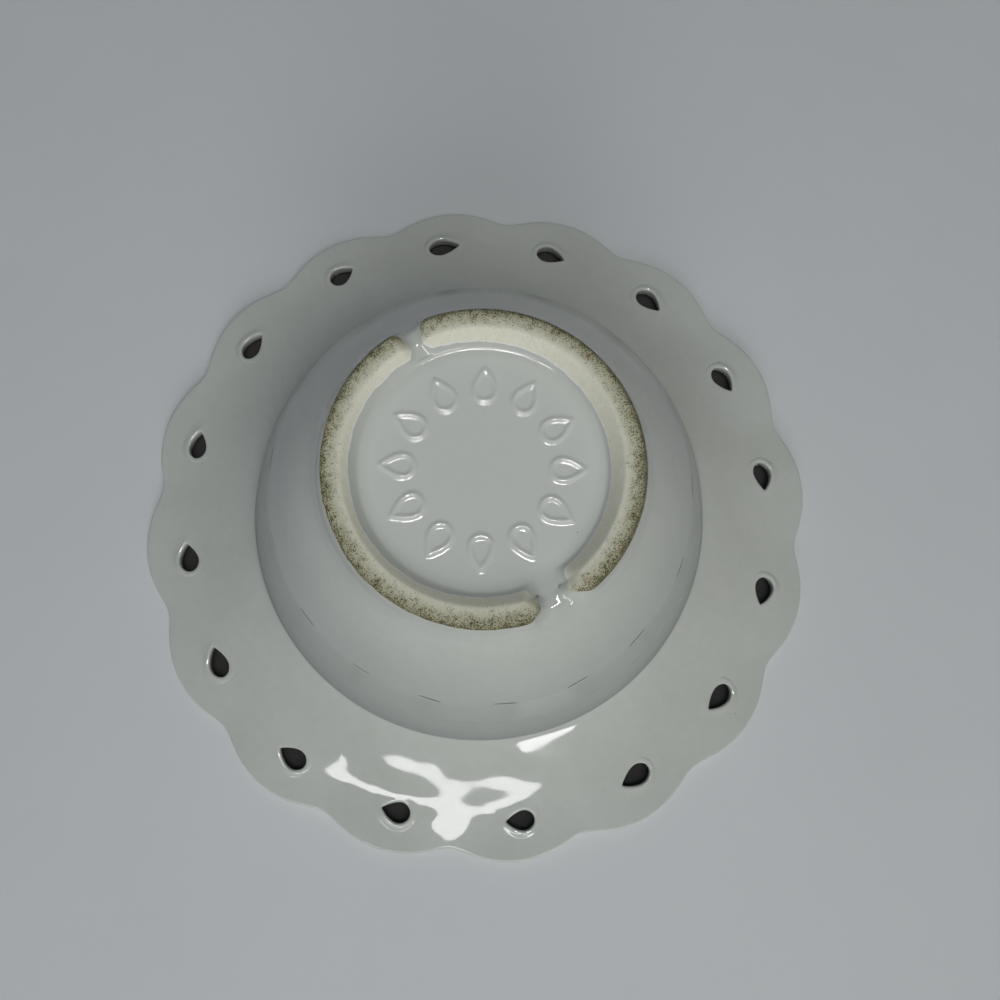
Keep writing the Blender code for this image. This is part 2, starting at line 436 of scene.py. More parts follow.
        # Darker colour along the bottoms of the shoulder nicks, from the crevice share.
        nick = add_node(tree, "ShaderNodeAttribute", attribute_name="crevice")
        low, high = self.nick_dark_span
        nick_darkening = add_node(
            tree, "ShaderNodeMapRange", {"Value": nick.outputs["Fac"], "From Min": low, "From Max": high}
        )
        return add_node(
            tree,
            "ShaderNodeMix",
            {0: nick_darkening.outputs["Result"], 6: speckled.outputs[2], 7: srgb(self.nick_dark)},
            data_type="RGBA",
        ).outputs[2]

    def gloss(self, tree: Tree, coords: Socket) -> Socket:
        """Roughness of the coat, a little duller where it is worn and dull down the lower wall into the
        neck.

        Args:
            tree: the material's node tree.
            coords: object coordinates.

        Returns:
            The roughness socket.
        """
        wear = add_node(
            tree, "ShaderNodeTexNoise", {"Vector": coords, "Scale": 1 / self.pooling, "Detail": 5.0}
        )
        worn = add_node(
            tree,
            "ShaderNodeMapRange",
            {
                "Value": wear.outputs["Fac"],
                "From Min": self.wear_span[0],
                "From Max": self.wear_span[1],
                "To Min": self.roughness[0],
                "To Max": self.roughness[1],
            },
        )
        return add_node(
            tree,
            "ShaderNodeMix",
            {0: self.neck_shade_and_dullness(tree, coords), 2: worn.outputs["Result"], 3: self.pooled_roughness},
            data_type="FLOAT",
        ).outputs[0]

    def peel_relief(self, tree: Tree, coords: Socket) -> Socket:
        """Normal of the faint orange peel that a dipped glaze fires to.

        Args:
            tree: the material's node tree.
            coords: object coordinates.

        Returns:
            The normal socket.
        """
        waves = add_node(
            tree, "ShaderNodeTexNoise", {"Vector": coords, "Scale": 1 / self.peel, "Detail": 1.0}
        )
        return add_node(
            tree,
            "ShaderNodeBump",
            {"Height": waves.outputs["Fac"], "Distance": self.peel_height, "Strength": 1.0},
        ).outputs["Normal"]


@dataclass(frozen=True)
class GlazedEarthenware(Finish):
    """White glaze dipped over slip-cast earthenware: glossy, milky, faintly mottled and pitted."""

    title: str = "white_glazed_earthenware"
    coat: GlazeCoat = GlazeCoat()

    def surface(self, tree: Tree, coords: Socket) -> dict[str, object]:
        """Add the glaze: sharp reflections over a soft grey-white with few dark pinholes.

        Args:
            tree: the material's node tree.
            coords: object coordinates.

        Returns:
            Inputs of the principled surface.
        """
        return {
            "Base Color": self.coat.colour(tree, coords),
            "Roughness": self.coat.gloss(tree, coords),
            "IOR": self.coat.ior,
            "Normal": self.coat.peel_relief(tree, coords),
        }


@dataclass(frozen=True)
class BareBiscuit(Finish):
    """Unglazed fired clay wiped clean for the kiln shelf: sandy, matt and worn dark on its edge.

    The glaze stops at a wavy line on either side of the tread, with a pale bead along the inner one.
    Each line is given as its radius and its height.
    """

    title: str = "bare_biscuit_clay"
    coat: GlazeCoat = GlazeCoat()
    clay: str = "#fbfbec"
    sand: str = "#e9e8cf"
    worn: str = "#aaa67f"
    stain: str = "#9f9860"
    speck: str = "#3f3d28"
    bead: str = "#ffffff"
    inner_line: Span = (23.2 * MM, 55.7 * MM)
    outer_line: Span = (28.5 * MM, 57.0 * MM)
    line_lean: tuple[float, float, float] = (-0.012, -0.022, 0.0)
    line_wave: float = 3.0 * MM
    line_wander: float = 0.4 * MM
    bead_width: float = 0.14 * MM
    bead_strength: float = 0.9
    grain: float = 0.3 * MM
    grain_height: float = 0.04 * MM
    sand_size: float = 0.9 * MM
    worn_radii: Span = (24.8 * MM, 28.6 * MM)
    cluster: float = 1.5 * MM
    cluster_share: float = 0.2
    stain_span: Span = (0.48, 0.68)
    stain_strength: float = 0.8
    speck_spacing: float = 0.24 * MM
    speck_roughness: float = 0.6
    speck_limits: Span = (0.62, 0.41)
    speck_softness: float = 0.13
    speck_strength: float = 0.95
    roughness: float = 0.85

    def above_line(self, tree: Tree, coords: Socket) -> Socket:
        """Height above the glaze line, which rises from the inner to the outer side, leans and wanders.

        Args:
            tree: the material's node tree.
            coords: object coordinates.

        Returns:
            The height socket, in metres.
        """
        axes = add_node(tree, "ShaderNodeSeparateXYZ", {"Vector": coords})
        line = add_node(
            tree,
            "ShaderNodeMapRange",
            {
                "Value": axis_distance(tree, coords),
                "From Min": self.inner_line[0],
                "From Max": self.outer_line[0],
                "To Min": self.inner_line[1],
                "To Max": self.outer_line[1],
            },
        )
        sway = add_node(
            tree, "ShaderNodeTexNoise", {"Vector": coords, "Scale": 1 / self.line_wave, "Detail": 6.0}
        )
        wander = add_node(
            tree,
            "ShaderNodeMapRange",
            {"Value": sway.outputs["Fac"], "To Min": -self.line_wander, "To Max": self.line_wander},
        )
        lean = add_node(
            tree, "ShaderNodeVectorMath", {0: coords, 1: self.line_lean}, operation="DOT_PRODUCT"
        )
        leaning = add_node(
            tree, "ShaderNodeMath", {0: line.outputs["Result"], 1: lean.outputs["Value"]}, operation="ADD"
        )
        level = add_node(
            tree, "ShaderNodeMath", {0: leaning.outputs[0], 1: wander.outputs["Result"]}, operation="ADD"
        )
        return add_node(
            tree, "ShaderNodeMath", {0: axes.outputs["Z"], 1: level.outputs[0]}, operation="SUBTRACT"
        ).outputs[0]

    def clay_colour(self, tree: Tree, coords: Socket) -> Socket:
        """Colour of the bare clay: cream and sand, with dark specks thick on the worn outer edge.

        Args:
            tree: the material's node tree.
            coords: object coordinates.

        Returns:
            The colour socket.
        """
        sandy = add_node(
            tree, "ShaderNodeTexNoise", {"Vector": coords, "Scale": 1 / self.sand_size, "Detail": 4.0}
        )
        body = add_node(
            tree,
            "ShaderNodeMix",
            {0: sandy.outputs["Fac"], 6: srgb(self.clay), 7: srgb(self.sand)},
            data_type="RGBA",
        )
        fresh, worn = self.worn_radii
        worn_share = add_node(
            tree,
            "ShaderNodeMapRange",
            {"Value": axis_distance(tree, coords), "From Min": fresh, "From Max": worn},
        )
        tread = add_node(
            tree,
            "ShaderNodeMix",
            {0: worn_share.outputs["Result"], 6: body.outputs[2], 7: srgb(self.worn)},
            data_type="RGBA",
        )
        patches = add_node(
            tree, "ShaderNodeTexNoise", {"Vector": coords, "Scale": 1 / self.cluster, "Detail": 2.0}
        )
        stains = add_node(
            tree,
            "ShaderNodeMapRange",
            {
                "Value": patches.outputs["Fac"],
                "From Min": self.stain_span[0],
                "From Max": self.stain_span[1],
                "To Max": self.stain_strength,
            },
        )
        stained_share = add_node(
            tree,
            "ShaderNodeMath",
            {0: stains.outputs["Result"], 1: worn_share.outputs["Result"]},
            operation="MULTIPLY",
        )
        stained = add_node(
            tree,
            "ShaderNodeMix",
            {0: stained_share.outputs[0], 6: tread.outputs[2], 7: srgb(self.stain)},
            data_type="RGBA",
        )
        grit = add_node(
            tree,
            "ShaderNodeTexNoise",
            {
                "Vector": coords,
                "Scale": 1 / self.speck_spacing,
                "Detail": 2.0,
                "Roughness": self.speck_roughness,
            },
        )
        gathered = add_node(
            tree,
            "ShaderNodeMix",
            {0: self.cluster_share, 2: grit.outputs["Fac"], 3: patches.outputs["Fac"]},
            data_type="FLOAT",
        )
        limit = add_node(
            tree,
            "ShaderNodeMapRange",
            {
                "Value": worn_share.outputs["Result"],
                "To Min": self.speck_limits[0],
                "To Max": self.speck_limits[1],
            },
        )
        past = add_node(
            tree,
            "ShaderNodeMath",
            {0: gathered.outputs[0], 1: limit.outputs["Result"]},
            operation="SUBTRACT",
        )
        dark = add_node(
            tree,
            "ShaderNodeMapRange",
            {
                "Value": past.outputs[0],
                "From Min": 0.0,
                "From Max": self.speck_softness,
                "To Max": self.speck_strength,
            },
        )
        return add_node(
            tree,
            "ShaderNodeMix",
            {0: dark.outputs["Result"], 6: stained.outputs[2], 7: srgb(self.speck)},
            data_type="RGBA",
        ).outputs[2]

    def surface(self, tree: Tree, coords: Socket) -> dict[str, object]:
        """Add the clay, the glaze below its line and the bead between them.

        Args:
            tree: the material's node tree.
            coords: object coordinates.

        Returns:
            Inputs of the principled surface.
        """
        core = self.bead_width / 3
        above = self.above_line(tree, coords)
        bare = add_node(
            tree, "ShaderNodeMapRange", {"Value": above, "From Min": -core, "From Max": core}
        ).outputs["Result"]
        off_line = add_node(tree, "ShaderNodeMath", {0: above}, operation="ABSOLUTE")
        near_line = add_node(
            tree,
            "ShaderNodeMapRange",
            {
                "Value": off_line.outputs[0],
                "From Min": self.bead_width,
                "From Max": core,
                "To Max": self.bead_strength,
            },
        )
        on_slope = add_node(
            tree,
            "ShaderNodeMath",
            {0: axis_distance(tree, coords), 1: self.worn_radii[0]},
            operation="LESS_THAN",
        )
        bead = add_node(
            tree,
            "ShaderNodeMath",
            {0: near_line.outputs["Result"], 1: on_slope.outputs[0]},
            operation="MULTIPLY",
        )
        colour = add_node(
            tree,
            "ShaderNodeMix",
            {0: bare, 6: self.coat.colour(tree, coords), 7: self.clay_colour(tree, coords)},
            data_type="RGBA",
        )
        beaded = add_node(
            tree,
            "ShaderNodeMix",
            {0: bead.outputs[0], 6: colour.outputs[2], 7: srgb(self.bead)},
            data_type="RGBA",
        )
        rough = add_node(
            tree,
            "ShaderNodeMix",
            {0: bare, 2: self.coat.gloss(tree, coords), 3: self.roughness},
            data_type="FLOAT",
        )
        grit = add_node(
            tree, "ShaderNodeTexNoise", {"Vector": coords, "Scale": 1 / self.grain, "Detail": 4.0}
        )
        height = add_node(
            tree, "ShaderNodeMath", {0: grit.outputs["Fac"], 1: bare}, operation="MULTIPLY"
        )
        bump = add_node(
            tree,
            "ShaderNodeBump",
            {"Height": height.outputs[0], "Distance": self.grain_height, "Strength": 1.0},
        )
        return {
            "Base Color": beaded.outputs[2],
            "Roughness": rough.outputs[0],
            "IOR": self.coat.ior,
            "Normal": bump.outputs["Normal"],
        }


@dataclass(frozen=True)
class PaleTable(Finish):
    """Painted board under the bowl: pale, cool and matt, with a faint cloudiness."""

    title: str = "painted_table"
    light: str = "#dee1e2"
    shade: str = "#d8dbdc"
    cloud: float = 40.0 * MM
    roughness: float = 0.65
    ior: float = 1.45

    def surface(self, tree: Tree, coords: Socket) -> dict[str, object]:
        """Add the paint.

        Args:
            tree: the material's node tree.
            coords: object coordinates.

        Returns:
            Inputs of the principled surface.
        """
        clouds = add_node(
            tree, "ShaderNodeTexNoise", {"Vector": coords, "Scale": 1 / self.cloud, "Detail": 4.0}
        )
        paint = add_node(
            tree,
            "ShaderNodeMix",
            {0: clouds.outputs["Fac"], 6: srgb(self.light), 7: srgb(self.shade)},
            data_type="RGBA",
        )
        return {"Base Color": paint.outputs[2], "Roughness": self.roughness, "IOR": self.ior}


@dataclass(frozen=True)
class PaintedShadowDisc(Finish):
    """Painted shadow: a dark disc on the table inside the bowl, so that the piercings stay dark."""

    title: str = "painted_shadow_finish"
    light: str = "#3c3d3a"
    shade: str = "#2a2b29"
    shadow_grain: float = 0.8 * MM
    roughness: float = 0.95

    def surface(self, tree: Tree, coords: Socket) -> dict[str, object]:
        """Add the dark paint of the painted shadow.

        Args:
            tree: the material's node tree.
            coords: object coordinates.

        Returns:
            Inputs of the principled surface.
        """
        shadow_mottle = add_node(
            tree, "ShaderNodeTexNoise", {"Vector": coords, "Scale": 1 / self.shadow_grain, "Detail": 3.0}
        )
        shadow_paint = add_node(
            tree,
            "ShaderNodeMix",
            {0: shadow_mottle.outputs["Fac"], 6: srgb(self.light), 7: srgb(self.shade)},
            data_type="RGBA",
        )
        return {"Base Color": shadow_paint.outputs[2], "Roughness": self.roughness}


@dataclass(frozen=True)
class Corner:
    """A corner of the section: its radius, its height and the rounding that softens it."""

    radius: float
    height: float
    rounding: float = 0.0

    @property
    def place(self) -> Vector:
        """The corner before it is rounded."""
        return Vector((self.radius, self.height))


def rounded_path(corners: list[Corner], arc_steps: int) -> list[Vector]:
    """Round the corners of an open path.

    Args:
        corners: the path's corners, ends included.
        arc_steps: how many steps each rounding has.

    Returns:
        The path's points as (radius, height).
    """
    points = [corners[0].place]
    for before, corner, after in zip(corners, corners[1:], corners[2:]):
        along = (corner.place - before.place).normalized()
        onward = (after.place - corner.place).normalized()
        turn = math.atan2(along.cross(onward), along.dot(onward))
        start = corner.place - along * corner.rounding * math.tan(abs(turn) / 2)
        side = Vector((-along.y, along.x)) * math.copysign(corner.rounding, turn)
        for step in range(arc_steps + 1):
            swing = Matrix.Rotation(turn * step / arc_steps, 2)
            points.append(start + side - swing @ side)
    points.append(corners[-1].place)
    return points


def lengths_along(path: list[Vector]) -> np.ndarray:
    """Length of a path from its start to each of its points."""
    return np.cumsum([0.0] + [(after - before).length for before, after in zip(path, path[1:])])


def resampled(path: list[Vector], guide: list[Vector]) -> list[Vector]:
    """Points of a path, spaced as a guide's points are.

    Args:
        path: the path to take points from.
        guide: a path whose points lie at the wanted shares of its length.

    Returns:
        A point of the path for each point of the guide.
    """
    lengths, spots = lengths_along(path), lengths_along(guide)
    spots *= lengths[-1] / spots[-1]
    radii = np.interp(spots, lengths, [point.x for point in path])
    heights = np.interp(spots, lengths, [point.y for point in path])
    return [Vector(pair) for pair in zip(radii, heights)]


@dataclass
class Row:
    """One ring of the skin: its place in the section, its part, and its place in a drain gap."""

    place: Vector
    part: Part
    in_gap: Vector | None = None


@dataclass
class Section:
    """The bowl's section as it lies: the outer skin faces up and the well faces the table.

    The first sizes are read from the frame. Heights are above the table. The cage has a ring at each
    of the levels and radii. The lip's rings have an inset from the edge, and over the lip a drop from
    its crown or under it a height.
    """

    rim_radius: float
    foot_radius: float
    tread_level: float
    panel_level: float
    rim_seam: float
    wall_seam: float
    casting: float = 3.6 * MM
    base_thickness: float = 4.2 * MM
    hip: Corner = Corner(36.0 * MM, 46.4 * MM, 40.0 * MM)
    shoulder: Corner = Corner(41.7 * MM, 36.7 * MM, 5.0 * MM)
    belly: Corner = Corner(46.6 * MM, 24.0 * MM, 60.0 * MM)
    neck: Corner = Corner(49.2 * MM, 12.2 * MM, 1.8 * MM)
    band: Corner = Corner(63.95 * MM, 4.69 * MM, 40.0 * MM)
    band_slope: float = math.radians(6.0)
    cove_rounding: float = 6.0 * MM
    lip_crown: float = 0.98
    root_radius: float = 22.3 * MM
    tread_inner_radius: float = 24.9 * MM
    foot_splay: float = 1.2 * MM
    wall_start: float = 51.6 * MM
    root_rounding: float = 1.0 * MM
    tread_inner_rounding: float = 0.9 * MM
    tread_outer_rounding: float = 1.1 * MM
    foot_cove_rounding: float = 1.8 * MM
    gap_edge_rounding: float = 2.4 * MM
    gap_edge_inset: float = 0.2 * MM
    longest_run: float = 1.3 * MM
    panel_margin: float = 1.6 * MM
    panel_clearance: float = 1.1 * MM
    panel_middle: float = 1.2 * MM
    panel_rings: int = 17
    hip_levels: tuple[float, ...] = in_mm(49.2, 46.7)
    wall_levels: tuple[float, ...] = in_mm(
        41.6, 39.4, 37.9, 36.6, 35.3, 33.6, 31.2, 28.0, 24.5, 21.0, 17.7
    )
    slit_level: float = 36.6 * MM
    neck_levels: tuple[float, ...] = in_mm(13.4, 12.75, 12.2)
    rim_radii: tuple[float, ...] = in_mm(51.0, 53.2, 56.2, 59.2, 62.2, 64.5, 66.8, 69.1, 71.4, 73.2)
    patch_radii: Span = in_mm(62.2, 71.4)
    over_lip: tuple[Span, ...] = (in_mm(1.0, 0.0), in_mm(0.35, 0.06), in_mm(0.06, 0.4))
    lip_bulge: float = 0.05 * MM
    under_lip: tuple[Span, ...] = (in_mm(0.25, 0.7), in_mm(1.0, 0.02), in_mm(2.2, -0.05))
    under_rim_radii: tuple[float, ...] = in_mm(71.4, 69.1, 66.8, 64.5, 62.2, 58.0, 54.0, 51.0)
    well_neck_levels: tuple[float, ...] = in_mm(10.6, 12.4)
    well_levels: tuple[float, ...] = in_mm(19.0, 25.0, 31.0, 35.5, 39.5)
    floor_radii: tuple[float, ...] = in_mm(20.0, 14.0, 8.0, 2.5)
    rows: list[Row] = field(default_factory=list)
    slit_row: int = 0
    outer_patch: tuple[int, int] = (0, 0)
    inner_patch: tuple[int, int] = (0, 0)

    @classmethod
    def from_frame(cls) -> "Section":
        """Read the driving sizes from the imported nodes.

        Returns:
            The section.
        """
        rim_low, rim_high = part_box("pierced_rim")
        wall_low, wall_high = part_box("bowl_wall")
        base_low, base_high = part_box("base_dish")
        foot_low, foot_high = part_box("foot_arc_a")
        return cls(
            rim_radius=rim_high.x,
            foot_radius=-foot_low.y,
            tread_level=foot_high.z,
            panel_level=base_high.z,
            rim_seam=(rim_high.z + wall_low.z) / 2,
            wall_seam=(wall_high.z + base_low.z) / 2,
        )

    def __post_init__(self) -> None:
        """Work out the fine curves of the skin, then the rings of the cage."""
        lip = self.casting / 2
        slope = Vector((math.sin(self.band_slope), math.cos(self.band_slope)))
        lip_edge = Vector((self.rim_radius - lip, lip)) + slope * lip
        foot = Corner(self.foot_radius, self.panel_level)
        corners = [foot, self.hip, self.shoulder, self.belly, self.neck, self.band, Corner(*lip_edge)]
        self.outer = rounded_path(corners, arc_steps=16)
        self.inner = self.parallel(self.outer, self.casting)
        self.lay_outer_rows()
        self.lay_inner_rows()

    @staticmethod
    def parallel(path: list[Vector], distance: float) -> list[Vector]:
        """Shift a path that runs outwards to its inner side.

        Args:
            path: the path to shift.
            distance: how far it is shifted.

        Returns:
            The shifted points.
        """
        shifted = []
        for index, point in enumerate(path):
            before = path[max(index - 1, 0)]
            after = path[min(index + 1, len(path) - 1)]
            heading = (after - before).normalized()
            shifted.append(point + Vector((heading.y, -heading.x)) * distance)
        return shifted

    @staticmethod
    def height_at(path: list[Vector], radius: float) -> float:
        """Height of a path at a radius, on the rim where the path runs outwards."""
        return float(np.interp(radius, [p.x for p in path], [p.y for p in path]))

    @staticmethod
    def radius_at(path: list[Vector], height: float) -> float:
        """Radius of a path at a height, on the wall where the path runs down."""
        return float(np.interp(height, [p.y for p in path[::-1]], [p.x for p in path[::-1]]))

    def at_levels(self, path: list[Vector], levels: Iterable[float]) -> list[Vector]:
        """Points of a path on the wall, at heights."""
        return [Vector((self.radius_at(path, level), level)) for level in levels]

    def at_radii(self, path: list[Vector], radii: Iterable[float]) -> list[Vector]:
        """Points of a path on the rim, at radii."""
        return [Vector((radius, self.height_at(path, radius))) for radius in radii]

    def add_rows(self, places: Iterable[Vector], part: Part) -> None:
        """Add rings to the cage, all of one part."""
        self.rows.extend(Row(place, part) for place in places)

    def foot_paths(self) -> tuple[list[Vector], list[Vector]]:
        """Cage points over the foot, and the points they drop to in a drain gap.

        Returns:
            The two lists, point for point.
        """
        start = Corner(self.root_radius - self.panel_margin, self.panel_level)
        end = Corner(self.radius_at(self.outer, self.wall_start), self.wall_start)
        over_foot = rounded_path(
            [
                start,
                Corner(self.root_radius, self.panel_level, self.root_rounding),
                Corner(self.tread_inner_radius, self.tread_level, self.tread_inner_rounding),
                Corner(self.foot_radius, self.tread_level, self.tread_outer_rounding),
                Corner(self.foot_radius + self.foot_splay, self.panel_level, self.foot_cove_rounding),
                end,
            ],
            arc_steps=2,
        )
        runs = [over_foot[0]]
        for before, after in zip(over_foot, over_foot[1:]):
            if (after - before).length > self.longest_run:
                runs.append((before + after) / 2)
            runs.append(after)
        edge = Corner(self.foot_radius - self.gap_edge_inset, self.panel_level, self.gap_edge_rounding)
        through_gap = rounded_path([start, edge, end], arc_steps=8)
        return runs, resampled(through_gap, runs)

    def lay_outer_rows(self) -> None:
        """Lay the rings of the outer skin, from the panel's middle to under the lip."""
        over_foot, in_gap = self.foot_paths()
        panel_edge = over_foot[0].x - self.panel_clearance
        panel = np.linspace(self.panel_middle, panel_edge, self.panel_rings)
        self.add_rows((Vector((radius, self.panel_level)) for radius in panel), Part.BASE)
        self.rows.extend(Row(place, Part.BASE, drop) for place, drop in zip(over_foot, in_gap))
        self.add_rows(self.at_levels(self.outer, self.hip_levels), Part.BASE)
        wall_levels = (self.wall_seam, *self.wall_levels)
        self.slit_row = len(self.rows) + wall_levels.index(self.slit_level)
        self.add_rows(self.at_levels(self.outer, wall_levels), Part.WALL)
        self.add_rows(self.at_levels(self.outer, (self.rim_seam, *self.neck_levels)), Part.RIM)
        first = len(self.rows) + self.rim_radii.index(self.patch_radii[0])
        self.outer_patch = (first, first + PATCH_CELLS)
        self.add_rows(self.at_radii(self.outer, self.rim_radii), Part.RIM)
        crown = self.casting * self.lip_crown
        lip = [(inset, crown - drop) for inset, drop in self.over_lip]
        lip += [(-self.lip_bulge, crown / 2), *self.under_lip]
        self.add_rows((Vector((self.rim_radius - inset, height)) for inset, height in lip), Part.RIM)

    def lay_inner_rows(self) -> None:
        """Lay the rings of the well, from the lip up to the middle of its floor."""
        first = len(self.rows) + self.under_rim_radii.index(self.patch_radii[1])
        self.inner_patch = (first, first + PATCH_CELLS)
        self.add_rows(self.at_radii(self.inner, self.under_rim_radii), Part.RIM)
        well = self.inner[:-1]
        self.add_rows(self.at_levels(well, self.well_neck_levels), Part.RIM)
        self.add_rows(self.at_levels(well, (self.rim_seam, *self.well_levels)), Part.WALL)
        floor_level = self.panel_level - self.base_thickness
        below, seam = self.at_levels(well, (self.wall_seam - MM, self.wall_seam))
        edge = seam + (seam - below) / MM * (floor_level - self.wall_seam)
        cove_edge = Corner(edge.x, floor_level, self.cove_rounding)
        cove = rounded_path([Corner(*seam), cove_edge, Corner(0.0, floor_level)], arc_steps=4)
        self.add_rows(cove[:-1], Part.BASE)
        self.add_rows((Vector((radius, floor_level)) for radius in self.floor_radii), Part.BASE)


@dataclass
class Scallops:
    """The rim's edge, drawn in between the lobes."""

    rim_radius: float
    depth: float = 3.3 * MM
    reach: float = 14.3 * MM
    softness: float = 0.9 * MM

    def edge_radius(self, azimuth: float) -> float:
        """Radius of the edge: round lobes with softened notches between them.

        Args:
            azimuth: where on the rim.

        Returns:
            The radius.
        """
        half_lobe = LOBE_ANGLE / 2
        notch = self.rim_radius - self.depth - self.softness / 2
        rise = self.rim_radius - notch * math.cos(half_lobe)
        arc = (rise**2 + (notch * math.sin(half_lobe)) ** 2) / (2 * rise)
        centre = self.rim_radius - arc

        def lobe_edge(offset: float) -> float:
            """Radius of one lobe's circle at an angle from its tip."""
            half_chord = arc**2 - (centre * math.sin(offset)) ** 2
            return centre * math.cos(offset) + math.sqrt(max(half_chord, 0.0))

        offset = wrapped(azimuth, LOBE_ANGLE)
        own = lobe_edge(offset)
        beside = lobe_edge(offset - math.copysign(LOBE_ANGLE, offset))
        return (own + beside + math.hypot(own - beside, self.softness)) / 2

    def draw_in(self, skin: bpy.types.Object) -> None:
        """Draw the edge in, fading out towards the neck.

        Args:
            skin: the bowl's skin.
        """
        full = self.edge_radius(0.0)
        for vert in skin.data.vertices:
            radius = radius_of(vert.co)
            pull = smooth_step(radius, self.rim_radius - self.reach, self.rim_radius)
            drawn = radius - pull * (full - self.edge_radius(azimuth_of(vert.co)))
            vert.co.x *= drawn / radius
            vert.co.y *= drawn / radius


@dataclass
class Teardrop:
    """One hand-cut piercing: its place in the rim, its size and its lean."""

    radius: float
    azimuth: float
    length: float
    width: float
    lean: float
    pointedness: float = 0.7698

    def outline(self, turn: float, spread: float) -> Vector:
        """Point of the outline, from 0 at the tip.

        Args:
            turn: angle round the piercing.
            spread: distance outside the cut edge.

        Returns:
            The point as (along the rim towards the tip, out across the rim).
        """
        across = self.width / 2 / self.pointedness
        out = across * math.sin(turn) * abs(math.sin(turn / 2))
        point = Vector((self.length / 2 * math.cos(turn), out))
        outward = Vector((math.cos(turn), math.sin(turn)))
        return Matrix.Rotation(self.lean, 2) @ (point + outward * spread)

    def spot(self, turn: float, spread: float) -> tuple[float, float]:
        """Radius and azimuth of a point of the outline, its tip turned clockwise."""
        along, out = self.outline(turn, spread)
        return self.radius + out, self.azimuth - along / self.radius


class Side(IntEnum):
    """The two skins of the rim that a piercing goes through."""

    OUTER = 1
    WELL = 2


@dataclass(frozen=True)
class Loop:
    """A loop round a piercing: its spread from the cut edge, its rise and its share of the depth."""

    spread: float
    rise: float = 0.0
    depth: float = 0.0


